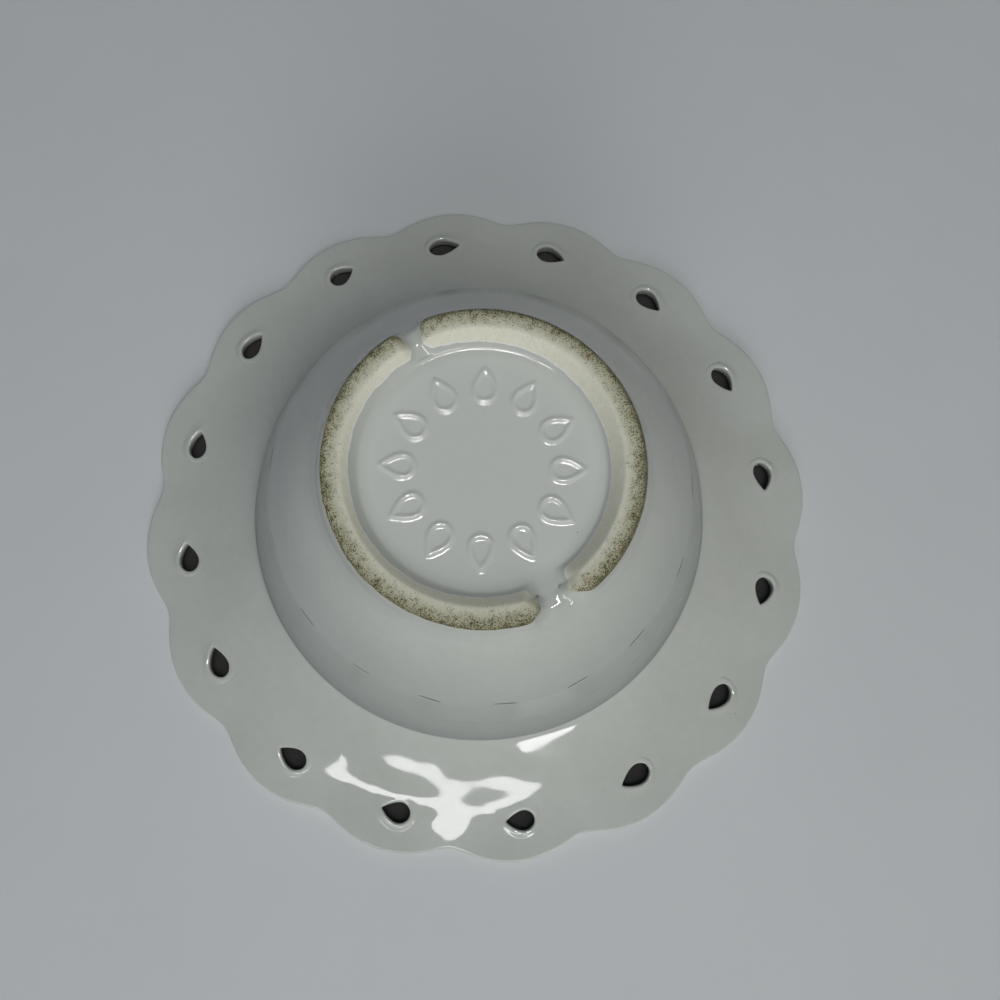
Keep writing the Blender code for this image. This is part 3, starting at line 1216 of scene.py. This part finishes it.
@dataclass
class Piercings:
    """Sixteen teardrops cut by hand through the rim, each with a soft collar on its outward side."""

    section: Section
    centre_radius: float = 66.8 * MM
    lead: float = math.radians(1.45)
    length: float = 6.6 * MM
    width: float = 4.5 * MM
    collar_height: float = 0.42 * MM
    radius_play: float = 0.6 * MM
    azimuth_play: float = math.radians(0.8)
    length_range: Span = (0.92, 1.1)
    width_range: Span = (0.92, 1.06)
    lean_play: float = math.radians(10.0)
    turn_reach: Span = in_mm(4.0, 9.0)
    weld_distance: float = 0.001 * MM
    seed: int = 532219
    cuts: list[Teardrop] = field(default_factory=list)

    def __post_init__(self) -> None:
        """Settle how each cut differs from the next, as a hand would make them."""
        hand = random.Random(self.seed)
        for lobe in range(LOBES):
            middle = lobe * LOBE_ANGLE + self.lead
            self.cuts.append(
                Teardrop(
                    radius=self.centre_radius + hand.uniform(-self.radius_play, self.radius_play),
                    azimuth=middle + hand.uniform(-self.azimuth_play, self.azimuth_play),
                    length=self.length * hand.uniform(*self.length_range),
                    width=self.width * hand.uniform(*self.width_range),
                    lean=hand.uniform(-self.lean_play, self.lean_play),
                )
            )

    def outer_loops(self) -> list[Loop]:
        """Loops from the outer skin, over the collar and into the cut.

        Returns:
            The loops in order.
        """
        return [
            Loop(spread=1.8 * MM),
            Loop(spread=0.85 * MM, rise=self.collar_height),
            Loop(spread=0.2 * MM, rise=self.collar_height * 0.7),
            Loop(spread=0.0, depth=0.09),
            Loop(spread=0.14 * MM, depth=0.5),
        ]

    def well_loops(self) -> list[Loop]:
        """Loops from the well's skin into the cut, ending on the outer skin's last loop.

        Returns:
            The loops in order.
        """
        return [
            Loop(spread=1.9 * MM, depth=1.0),
            Loop(spread=0.8 * MM, depth=1.0),
            Loop(spread=0.4 * MM, depth=0.9),
            Loop(spread=0.14 * MM, depth=0.5),
        ]

    def patch_test(self, skin: bpy.types.Object) -> Callable[[bmesh.types.BMFace], bool]:
        """Return the test for faces that give way to a piercing, on either skin.

        Args:
            skin: the bowl's skin, in edit mode.

        Returns:
            The test.
        """
        row_layer = edited(skin).verts.layers.int["row"]
        spans = (self.section.outer_patch, self.section.inner_patch)

        def in_patch(face: bmesh.types.BMFace) -> bool:
            """Whether a face lies in the block of rows and columns round a piercing.

            Args:
                face: a face of the cage.

            Returns:
                True if it does.
            """
            rows = [vert[row_layer] for vert in face.verts]
            if not any(low <= min(rows) and max(rows) <= high for low, high in spans):
                return False
            offset = wrapped(azimuth_of(face.calc_center_median()), LOBE_ANGLE)
            return abs(offset) < PATCH_CELLS / 2 * COLUMN_ANGLE

        return in_patch

    def mark_loops(self, skin: bpy.types.Object) -> None:
        """Write on each open edge's ends which piercing they go round, how far, and on which skin.

        Args:
            skin: the bowl's skin, in edit mode.
        """
        mesh = edited(skin)
        row_layer = mesh.verts.layers.int["row"]
        lobe_layer = mesh.verts.layers.int["lobe"]
        turn_layer = mesh.verts.layers.float["turn"]
        side_layer = mesh.verts.layers.int["side"]
        for vert in mesh.verts:
            if not vert.is_boundary:
                continue
            azimuth = azimuth_of(vert.co)
            lobe = round(azimuth / LOBE_ANGLE)
            column = round((azimuth - lobe * LOBE_ANGLE) / COLUMN_ANGLE)
            first, last = self.section.outer_patch
            outer = first <= vert[row_layer] <= last
            middle = (first if outer else self.section.inner_patch[0]) + PATCH_CELLS // 2
            out = vert[row_layer] - middle if outer else middle - vert[row_layer]
            vert[lobe_layer] = lobe % LOBES
            vert[turn_layer] = math.atan2(out, -column) % (2 * math.pi)
            vert[side_layer] = Side.OUTER if outer else Side.WELL
        bmesh.update_edit_mesh(skin.data)

    def sink_loop(self, skin: bpy.types.Object, side: Side, loop: Loop) -> None:
        """Extrude the open loops of one skin and place the new loops round their piercings.

        Args:
            skin: the bowl's skin, in edit mode.
            side: the skin that the loops sink from.
            loop: where the new loops lie.
        """
        side_layer = edited(skin).verts.layers.int["side"]
        pick(
            skin,
            "EDGE",
            lambda edge: edge.is_boundary and all(vert[side_layer] == side for vert in edge.verts),
        )
        bpy.ops.mesh.extrude_edges_move()
        mesh = edited(skin)
        lobe_layer = mesh.verts.layers.int["lobe"]
        turn_layer = mesh.verts.layers.float["turn"]
        for vert in (vert for vert in mesh.verts if vert.select):
            cut = self.cuts[vert[lobe_layer]]
            radius, azimuth = cut.spot(vert[turn_layer], loop.spread)
            top = self.section.height_at(self.section.outer, radius)
            bottom = self.section.height_at(self.section.inner, radius)
            outward_share = (1 + math.sin(vert[turn_layer])) / 2
            height = top + loop.rise * outward_share + (bottom - top) * loop.depth
            vert.co = around(radius, azimuth, height)
        bmesh.update_edit_mesh(skin.data)

    def cut_through(self, skin: bpy.types.Object) -> None:
        """Open the rim, sink a loop from either skin step by step, and weld them in the middle.

        Args:
            skin: the bowl's skin.
        """
        for name, kind in (("lobe", "INT"), ("turn", "FLOAT"), ("side", "INT")):
            skin.data.attributes.new(name, kind, "POINT")
        with editing(skin):
            pick(skin, "FACE", self.patch_test(skin))
            bpy.ops.mesh.delete(type="FACE")
            self.mark_loops(skin)
            for loop in self.outer_loops():
                self.sink_loop(skin, Side.OUTER, loop)
            for loop in self.well_loops():
                self.sink_loop(skin, Side.WELL, loop)
            bpy.ops.mesh.select_all(action="SELECT")
            bpy.ops.mesh.remove_doubles(threshold=self.weld_distance)

    def shift_rings(self, skin: bpy.types.Object) -> None:
        """Turn the rim's rings a little, so that each piercing lies in the middle of its block.

        Args:
            skin: the bowl's skin.
        """
        for vert in skin.data.vertices:
            near = 1 - smooth_step(abs(radius_of(vert.co) - self.centre_radius), *self.turn_reach)
            vert.co = Matrix.Rotation(self.lead * near, 3, "Z") @ vert.co


@dataclass
class ShoulderSlits:
    """Short hairline nicks along the shoulder, spaced by hand and crowded on one side."""

    section: Section
    drift: float = math.radians(7.4)
    drift_azimuth: float = math.radians(240.0)
    first: float = math.radians(1.7)
    half_width: float = 0.2 * MM
    depth: float = 0.4 * MM
    depth_shares: Span = (0.35, 1.0)
    tilt: float = 0.16
    seed: int = 5

    def azimuths(self) -> list[float]:
        """Azimuth of each nick."""
        even = [index * LOBE_ANGLE + self.first for index in range(LOBES)]
        return [angle + self.drift * math.cos(angle - self.drift_azimuth) for angle in even]

    def nick(self, skin: bpy.types.Object) -> None:
        """Bevel a short run of the shoulder's ring at each nick, tilt it and press its middle in.

        Args:
            skin: the bowl's skin.
        """
        skin.data.attributes.new("crevice", "FLOAT", "POINT")
        before, ring, after = (
            self.section.rows[self.section.slit_row + step].place for step in (-1, 0, 1)
        )
        downhill = (after - before).normalized()
        centres = self.azimuths()
        hand = random.Random(self.seed)
        shares = [hand.uniform(*self.depth_shares) for _ in centres]
        tilts = [hand.uniform(-self.tilt, self.tilt) for _ in centres]

        def in_nick(edge: bmesh.types.BMEdge) -> bool:
            """Whether an edge of the cage lies along a nick.

            Args:
                edge: an edge of the cage.

            Returns:
                True if it does.
            """
            if any(vert[row_layer] != self.section.slit_row for vert in edge.verts):
                return False
            middle = azimuth_of(sum((vert.co for vert in edge.verts), Vector()) / 2)
            return any(abs(wrapped(middle - centre)) < COLUMN_ANGLE for centre in centres)

        with editing(skin):
            row_layer = edited(skin).verts.layers.int["row"]
            pick(skin, "EDGE", in_nick)
            bpy.ops.mesh.bevel(offset=self.half_width, segments=2, affect="EDGES")
            mesh = edited(skin)
            crevice = mesh.verts.layers.float["crevice"]
            for vert in (vert for vert in mesh.verts if vert.select):
                azimuth = azimuth_of(vert.co)
                nearest = min(range(LOBES), key=lambda number: abs(wrapped(azimuth - centres[number])))
                off = (Vector((radius_of(vert.co), vert.co.z)) - ring).length
                inside = all(face.select for face in vert.link_faces)
                if inside and off < self.half_width / 2:
                    vert.co -= vert.normal * self.depth * shares[nearest]
                    vert[crevice] = shares[nearest]
                slide = tilts[nearest] * wrapped(azimuth - centres[nearest]) * ring.x
                vert.co += around(downhill.x * slide, azimuth, downhill.y * slide)
            bmesh.update_edit_mesh(skin.data)


@dataclass(frozen=True)
class DrainGap:
    """One of the two gaps in the foot: its azimuth, its depth and its slopes, with angles in degrees."""

    azimuth: float
    depth: float
    slope_before: Span
    slope_after: Span
    end_rounding: float

    def foot_share(self, azimuth: float, off_middle: float) -> float:
        """Share of the foot's height that stands at a place.

        Args:
            azimuth: azimuth of the place.
            off_middle: distance from the middle of the tread, as a share of half its width.

        Returns:
            The share, which falls off sooner away from the middle so that the ends are round.
        """
        offset = math.degrees(wrapped(azimuth - math.radians(self.azimuth)))
        away = abs(offset) - self.end_rounding * min(off_middle**2, 1.0)
        slope = self.slope_before if offset < 0 else self.slope_after
        return 1 - self.depth * (1 - smooth_step(away, *slope))


@dataclass
class SplitFoot:
    """The foot ring, parted by a wide and a narrow drain gap."""

    section: Section
    gaps: tuple[DrainGap, DrainGap] = (
        DrainGap(-1.2, depth=1.0, slope_before=(3.6, 7.0), slope_after=(2.0, 12.0), end_rounding=2.6),
        DrainGap(180.6, depth=0.6, slope_before=(1.4, 7.2), slope_after=(1.0, 4.8), end_rounding=0.4),
    )
    least_share: float = 0.08
    clear_of_panel: float = 0.2 * MM

    def share(self, azimuth: float, radius: float) -> float:
        """Share of the foot's height that stands at a place, over both gaps.

        Args:
            azimuth: azimuth of the place.
            radius: its distance from the axis.

        Returns:
            The share.
        """
        inner, outer = self.section.tread_inner_radius, self.section.foot_radius
        off_middle = (radius - (inner + outer) / 2) / ((outer - inner) / 2)
        return min(gap.foot_share(azimuth, off_middle) for gap in self.gaps)

    def press_gaps(self, skin: bpy.types.Object) -> None:
        """Drop the foot's rings on to the channel where a gap parts it.

        Args:
            skin: the bowl's skin.
        """
        rows = skin.data.attributes["row"].data
        for vert in skin.data.vertices:
            row = self.section.rows[rows[vert.index].value]
            if row.in_gap is None:
                continue
            azimuth = azimuth_of(vert.co)
            place = row.in_gap.lerp(row.place, self.share(azimuth, row.place.x))
            vert.co = around(place.x, azimuth, place.y)

    def part_of(self, rows: list[Row], azimuth: float) -> Part:
        """Part that a face of the foot belongs to.

        Args:
            rows: rows of the face's corners.
            azimuth: azimuth of the face's middle.

        Returns:
            The part.
        """
        least = self.section.panel_level + self.clear_of_panel
        on_foot = all(row.in_gap is not None and row.place.y > least for row in rows)
        middle = (self.section.tread_inner_radius + self.section.foot_radius) / 2
        if not on_foot or self.share(azimuth, middle) < self.least_share:
            return Part.BASE
        return Part.FOOT_B if azimuth > 0 else Part.FOOT_A


@dataclass(frozen=True)
class Press:
    """A soft hollow or swell left in the rim while it was damp.

    A hollow has a negative height, and the spreads say how far it reaches across and along the rim.
    """

    radius: float
    azimuth: float
    height: float
    across_spread: float
    along_spread: float

    @classmethod
    def measured(cls, radius: float, degrees: float, *sizes: float) -> "Press":
        """Make a press from its azimuth in degrees, and its radius, height and spreads in millimetres."""
        return cls(radius * MM, math.radians(degrees), *in_mm(*sizes))


@dataclass
class RimUnevenness:
    """The rim's soft unevenness, which breaks a lamp's reflection into streaks and loops.

    The front of the rim is the most uneven, and each of the other lobes has one slight press.
    """

    section: Section
    front_presses: dict[str, Press] = field(
        default_factory=lambda: {
            "left_lobe_swell": Press.measured(63.5, 297.0, 0.25, 2.5, 5.0),
            "left_swell": Press.measured(59.5, 314.5, 0.45, 3.0, 8.0),
            "neck_dimple": Press.measured(52.0, 321.5, -0.15, 3.5, 2.0),
            "outer_swell": Press.measured(67.0, 325.5, 0.15, 2.0, 8.0),
            "notch_hollow": Press.measured(75.0, 327.0, -1.1, 3.5, 5.0),
            "middle_swell": Press.measured(64.5, 326.5, 0.35, 3.5, 4.0),
            "right_hollow": Press.measured(67.0, 331.5, -0.6, 4.0, 5.5),
            "neck_hollow": Press.measured(55.5, 335.0, -0.35, 2.5, 5.5),
        }
    )
    gauge_radius: float = 62.0 * MM
    neck_radius: float = 50.5 * MM
    neck_fade: float = 2.0 * MM
    lip_height: float = 2.5 * MM
    front_azimuth: float = math.radians(320.0)
    front_reach: float = math.radians(55.0)
    slight_radii: Span = in_mm(57.0, 68.0)
    slight_play: float = math.radians(6.0)
    slight_height: float = 0.12 * MM
    slight_across: Span = in_mm(2.4, 4.0)
    slight_along: Span = in_mm(4.0, 8.0)
    seed: int = 8

    def presses(self) -> list[Press]:
        """The presses of the front, and one on each lobe that is clear of it.

        Returns:
            The presses.
        """
        hand = random.Random(self.seed)
        found = list(self.front_presses.values())
        for lobe in range(LOBES):
            press = Press(
                radius=hand.uniform(*self.slight_radii),
                azimuth=lobe * LOBE_ANGLE + hand.uniform(-self.slight_play, self.slight_play),
                height=hand.uniform(-self.slight_height, self.slight_height),
                across_spread=hand.uniform(*self.slight_across),
                along_spread=hand.uniform(*self.slight_along),
            )
            if abs(wrapped(press.azimuth - self.front_azimuth)) > self.front_reach:
                found.append(press)
        return found

    def heights(self, places: np.ndarray) -> np.ndarray:
        """Height of the unevenness at each place.

        Args:
            places: the places, one row each.

        Returns:
            A height for each place.
        """
        radius = np.hypot(places[:, 0], places[:, 1])
        azimuth = np.arctan2(places[:, 1], places[:, 0])
        total = np.zeros(len(places))
        for press in self.presses():
            across = (radius - press.radius) / press.across_spread
            along = wrapped(azimuth - press.azimuth) * self.gauge_radius / press.along_spread
            total += press.height * np.exp(-(across**2 + along**2) / 2)
        return total

    def raise_on(self, skin: bpy.types.Object) -> None:
        """Move the rim of the smooth skin up and down, and leave its underside on the table.

        Args:
            skin: the bowl's skin.
        """
        places = places_of(skin)
        radius = np.hypot(places[:, 0], places[:, 1])
        inner = np.clip((radius - self.neck_radius) / self.neck_fade, 0, 1)
        above = np.clip(places[:, 2] / self.lip_height, 0, 1)
        on_rim = inner * above * (places[:, 2] < self.section.rim_seam)
        floor = np.minimum(places[:, 2], 0)
        places[:, 2] = np.maximum(places[:, 2] + self.heights(places) * on_rim, floor)
        skin.data.vertices.foreach_set("co", places.ravel())
        skin.data.update()


@dataclass
class Casting:
    """The whole bowl as one skin, later parted into its pieces."""

    section: Section
    smoothness: int = 2
    seam_reach: float = 0.5 * MM

    def turn(self) -> bpy.types.Object:
        """Extrude a circle along the section, ring by ring, and close its two middles.

        Returns:
            The bowl's skin.
        """
        rows = self.section.rows
        first = rows[0].place
        bpy.ops.object.select_all(action="DESELECT")
        bpy.ops.mesh.primitive_circle_add(
            vertices=COLUMNS, radius=first.x, fill_type="NOTHING", location=(0, 0, first.y)
        )
        skin = bpy.context.active_object
        skin.name = "bowl_skin"
        bpy.ops.object.transform_apply(location=True, rotation=True, scale=True)
        with editing(skin):
            bpy.ops.mesh.select_all(action="SELECT")
            for before, after in zip(rows, rows[1:]):
                rise = after.place.y - before.place.y
                bpy.ops.mesh.extrude_edges_move(TRANSFORM_OT_translate={"value": (0, 0, rise)})
                growth = after.place.x / before.place.x
                bpy.ops.transform.resize(
                    value=(growth, growth, 1), center_override=(0, 0, after.place.y)
                )
            bpy.ops.mesh.select_all(action="SELECT")
            bpy.ops.mesh.fill_holes(sides=0)
            bpy.ops.mesh.normals_make_consistent(inside=False)
        row_of = skin.data.attributes.new("row", "INT", "POINT")
        row_of.data.foreach_set("value", np.arange(len(skin.data.vertices)) // COLUMNS)
        return skin

    def mark_parts(self, skin: bpy.types.Object, foot: SplitFoot) -> None:
        """Give every face of the cage its part's material slot.

        Args:
            skin: the bowl's skin.
            foot: the foot, which says what belongs to it.
        """
        for part in Part:
            skin.data.materials.append(bpy.data.materials.new(part.piece))
        order = list(Part)
        rows = skin.data.attributes["row"].data
        for face in skin.data.polygons:
            numbers = [rows[index].value for index in face.vertices]
            on_rows = [self.section.rows[number] for number in numbers]
            part = self.section.rows[min(numbers)].part
            if part is Part.BASE:
                part = foot.part_of(on_rows, azimuth_of(face.center))
            face.material_index = order.index(part)

    def smooth(self, skin: bpy.types.Object) -> None:
        """Round the cage off with a subdivision surface.

        Args:
            skin: the bowl's skin.
        """
        select_only(skin)
        bpy.ops.object.modifier_add(type="SUBSURF")
        rounding = skin.modifiers[-1]
        rounding.levels = self.smoothness
        rounding.render_levels = self.smoothness
        bpy.ops.object.modifier_apply(modifier=rounding.name)

    def part_pieces(self, skin: bpy.types.Object) -> dict[Part, bpy.types.Object]:
        """Part the smooth skin by material, close each piece and keep its shading unbroken.

        Args:
            skin: the smooth skin of the whole bowl.

        Returns:
            The closed pieces by part.
        """
        select_only(skin)
        bpy.ops.object.shade_smooth()
        normals = np.zeros(len(skin.data.vertices) * 3, np.float32)
        skin.data.vertex_normals.foreach_get("vector", normals)
        kept = skin.data.attributes.new("skin_normal", "FLOAT_VECTOR", "POINT")
        kept.data.foreach_set("vector", normals)
        with editing(skin):
            bpy.ops.mesh.select_all(action="SELECT")
            bpy.ops.mesh.separate(type="MATERIAL")
        by_name = {part.piece: part for part in Part}
        pieces = {}
        for piece in [item for item in bpy.context.selected_objects if item.type == "MESH"]:
            part = by_name[piece.data.materials[0].name]
            piece.name = part.piece
            piece.data.name = part.piece
            self.close(piece)
            pieces[part] = piece
        return pieces

    def close(self, piece: bpy.types.Object) -> None:
        """Close the seams of a piece and put back the shading of the whole skin.

        Args:
            piece: the piece to close.
        """
        skin_faces = len(piece.data.polygons)
        with editing(piece):
            for seam in (self.section.rim_seam, self.section.wall_seam):

                def on_seam(edge: bmesh.types.BMEdge) -> bool:
                    """Whether an edge is open and lies at the seam."""
                    near = (abs(vert.co.z - seam) < self.seam_reach for vert in edge.verts)
                    return edge.is_boundary and all(near)

                if pick(piece, "EDGE", on_seam):
                    bpy.ops.mesh.bridge_edge_loops()
            if pick(piece, "EDGE", lambda edge: edge.is_boundary):
                bpy.ops.mesh.fill()
        normals = np.zeros((len(piece.data.vertices), 3), np.float32)
        piece.data.attributes["skin_normal"].data.foreach_get("vector", normals.ravel())
        corners = np.zeros((len(piece.data.loops), 3), np.float32)
        for face in piece.data.polygons[:skin_faces]:
            for corner in face.loop_indices:
                corners[corner] = normals[piece.data.loops[corner].vertex_index]
        piece.data.normals_split_custom_set(corners.tolist())
        piece.data.attributes.remove(piece.data.attributes["skin_normal"])


@dataclass
class PanelRelief:
    """A plain ring of raised teardrop outlines on the panel, softened under the glaze."""

    section: Section
    count: int = 12
    ring_radius: float = 15.2 * MM
    length: float = 5.9 * MM
    width: float = 3.9 * MM
    stroke: float = 0.95 * MM
    height: float = 0.3 * MM
    outline_points: int = 120
    panel_depth: float = 0.5 * MM

    def weights(self, places: np.ndarray) -> np.ndarray:
        """Share of the relief's height at each place.

        Args:
            places: the places, one row each.

        Returns:
            A share from 0 to 1 for each place.
        """
        step = 2 * math.pi / self.count
        azimuth = np.arctan2(places[:, 1], places[:, 0])
        offset = wrapped(azimuth, step)
        radius = np.hypot(places[:, 0], places[:, 1])
        local = np.stack([radius * np.cos(offset) - self.ring_radius, radius * np.sin(offset)], 1)
        petal = Teardrop(0.0, 0.0, self.length, self.width, 0.0)
        turns = np.linspace(0, 2 * math.pi, self.outline_points, endpoint=False)
        outline = np.array([petal.outline(turn, 0.0) for turn in turns])
        apart = np.linalg.norm(local[:, None, :] - outline[None, :, :], axis=2).min(1)
        return np.exp(-((apart / (self.stroke / 2)) ** 2))

    def raise_on(self, skin: bpy.types.Object) -> None:
        """Raise the outlines on the panel of the smooth skin.

        Args:
            skin: the bowl's skin.
        """
        places = places_of(skin)
        reach = self.ring_radius + self.length / 2 + self.stroke
        on_panel = places[:, 2] > self.section.panel_level - self.panel_depth
        numbers = np.flatnonzero(on_panel & (np.hypot(places[:, 0], places[:, 1]) < reach))
        group = skin.vertex_groups.new(name="panel_relief")
        for index, share in zip(numbers.tolist(), self.weights(places[numbers]).tolist()):
            group.add([index], share, "REPLACE")
        select_only(skin)
        bpy.ops.object.modifier_add(type="DISPLACE")
        lift = skin.modifiers[-1]
        lift.direction = "Z"
        lift.mid_level = 0.0
        lift.strength = self.height
        lift.vertex_group = group.name
        bpy.ops.object.modifier_apply(modifier=lift.name)


class Throw(Enum):
    """What a lamp gives: light without a mirror image, or the image alone."""

    FILL = "fill"
    GLINT = "glint"


@dataclass(frozen=True)
class Lamp:
    """A soft lamp that faces the bowl.

    Its zenith angle is from straight up, and its bearing turns from the picture's right to its top,
    both in degrees.
    """

    title: str
    zenith: float
    bearing: float
    power: float
    colour: str = "#ffffff"
    distance: float = 1.5
    size: Span = (0.9, 0.9)
    aim: tuple[float, float, float] = (0.0, 0.0, 0.03)
    throw: Throw = Throw.FILL

    def pose(self) -> Matrix:
        """Place and turn of the lamp in the photograph's directions.

        Returns:
            The lamp's matrix.
        """
        zenith, bearing = math.radians(self.zenith), math.radians(self.bearing)
        outward = around(math.sin(zenith), bearing, math.cos(zenith))
        facing = outward.to_track_quat("Z", "Y").to_matrix().to_4x4()
        return Matrix.Translation(Vector(self.aim) + outward * self.distance) @ facing


@dataclass
class Studio:
    """Table, light and camera. Directions are the photograph's, turned to the bowl's own."""

    turn: float = math.radians(61.5)
    camera_place: Vector = field(default_factory=lambda: Vector((-2.2, -37.7, 218.8)) * MM)
    tilt: float = math.radians(10.96)
    roll: float = math.radians(-1.78)
    lens: float = 34.2
    sensor_width: float = 36.0
    clip_start: float = 0.01
    table_size: float = 12.0
    table_cuts: int = 3
    ambient: str = "#9fa5a8"
    ambient_strength: float = 0.03
    # Painted shadow: size and place of the dark disc inside the bowl.
    shadow_disc_radius: float = 70.0 * MM
    shadow_disc_level: float = 0.05 * MM
    shadow_disc_sides: int = 96
    lamps: tuple[Lamp, ...] = (
        Lamp("right_box", 20.0, 300.0, 6.5, "#fffbf0"),
        Lamp("overhead_box", 0.0, 0.0, 2.2, "#d8e5ff"),
        Lamp("front_box", 40.0, 270.0, 1.35, "#e4edff"),
        Lamp("low_box", 60.0, 270.0, 4.1, "#f9fbff"),
        Lamp("table_box", 76.0, 270.0, 1.6, "#fffaf0"),
        Lamp("back_box", 60.0, 90.0, 0.72, "#fbfff9"),
        Lamp("left_box", 40.0, 180.0, 0.36, "#86b4ff"),
        Lamp(
            "key_glint", 47.0, 259.0, 0.57,
            distance=0.5, size=(0.4, 0.055), aim=(-0.005, -0.06, 0.005), throw=Throw.GLINT,
        ),
        Lamp(
            "neck_glint", 63.0, 290.0, 0.37,
            distance=0.6, size=(0.185, 0.065), aim=(0.01, -0.05, 0.01), throw=Throw.GLINT,
        ),
        Lamp(
            "ceiling_glint", 8.0, 270.0, 9.0,
            distance=1.2, size=(0.55, 0.1), aim=(0.0, 0.0, 0.0), throw=Throw.GLINT,
        ),
    )

    def photo_turn(self) -> Matrix:
        """Turn from the photograph's directions to the bowl's."""
        return Matrix.Rotation(self.turn, 4, "Z")

    def lay_table(self) -> None:
        """Lay the plain table under the bowl, with a dark disc of painted shadow on it inside the bowl.
        """
        bpy.ops.object.select_all(action="DESELECT")
        bpy.ops.mesh.primitive_plane_add(size=self.table_size)
        table = bpy.context.active_object
        table.name = "table_top"
        with editing(table):
            bpy.ops.mesh.select_all(action="SELECT")
            bpy.ops.mesh.subdivide(number_cuts=self.table_cuts)
        PaleTable().dress(table)
        bpy.ops.object.select_all(action="DESELECT")
        # Painted shadow: a dark disc inside the bowl that keeps the piercings dark.
        bpy.ops.mesh.primitive_circle_add(
            vertices=self.shadow_disc_sides,
            radius=self.shadow_disc_radius,
            fill_type="NGON",
            location=(0, 0, self.shadow_disc_level),
        )
        shadow_disc = bpy.context.active_object
        shadow_disc.name = "painted_shadow_disc"
        bpy.ops.object.transform_apply(location=True, rotation=True, scale=True)
        PaintedShadowDisc().dress(shadow_disc)

    def hang_lamps(self) -> None:
        """Hang the lamps round the bowl and fill the room with soft grey light."""
        for lamp in self.lamps:
            light = bpy.data.lights.new(lamp.title, "AREA")
            light.shape = "ELLIPSE"
            light.size, light.size_y = lamp.size
            light.energy = lamp.power
            light.color = srgb(lamp.colour)[:3]
            holder = bpy.data.objects.new(lamp.title, light)
            bpy.context.scene.collection.objects.link(holder)
            holder.matrix_world = self.photo_turn() @ lamp.pose()
            holder.visible_diffuse = lamp.throw is Throw.FILL
            holder.visible_glossy = lamp.throw is Throw.GLINT
        world = bpy.data.worlds.new("soft_room")
        bpy.context.scene.world = world
        world.use_nodes = True
        sky = world.node_tree.nodes["Background"]
        sky.inputs["Color"].default_value = srgb(self.ambient)
        sky.inputs["Strength"].default_value = self.ambient_strength

    def set_camera(self) -> None:
        """Set the camera above the bowl as the photograph was taken."""
        camera = bpy.data.cameras.new("camera")
        camera.lens = self.lens
        camera.sensor_width = self.sensor_width
        camera.clip_start = self.clip_start
        holder = bpy.data.objects.new("camera", camera)
        bpy.context.scene.collection.objects.link(holder)
        aim = Matrix.Rotation(self.tilt, 4, "X") @ Matrix.Rotation(self.roll, 4, "Y")
        holder.matrix_world = self.photo_turn() @ Matrix.Translation(self.camera_place) @ aim
        bpy.context.scene.camera = holder
        bpy.context.scene.view_settings.view_transform = "Standard"

    def set_up(self) -> None:
        """Lay the table, hang the lamps and set the camera."""
        self.lay_table()
        self.hang_lamps()
        self.set_camera()


def main() -> None:
    """Build the bowl, dress it, and set the studio."""
    section = Section.from_frame()
    casting = Casting(section)
    skin = casting.turn()
    piercings = Piercings(section)
    piercings.shift_rings(skin)
    piercings.cut_through(skin)
    foot = SplitFoot(section)
    foot.press_gaps(skin)
    casting.mark_parts(skin, foot)
    ShoulderSlits(section).nick(skin)
    Scallops(section.rim_radius).draw_in(skin)
    casting.smooth(skin)
    RimUnevenness(section).raise_on(skin)
    PanelRelief(section).raise_on(skin)
    pieces = casting.part_pieces(skin)
    GlazedEarthenware().dress(pieces[Part.RIM], pieces[Part.WALL], pieces[Part.BASE])
    BareBiscuit().dress(pieces[Part.FOOT_A], pieces[Part.FOOT_B])
    for part, piece in pieces.items():
        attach(piece, "root")
        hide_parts(part.node)
        LOG.info("%s: %d faces", piece.name, len(piece.data.polygons))
    Studio().set_up()


if __name__ == "__main__":
    logging.basicConfig(level=logging.INFO, format="%(name)s: %(message)s")
    main()
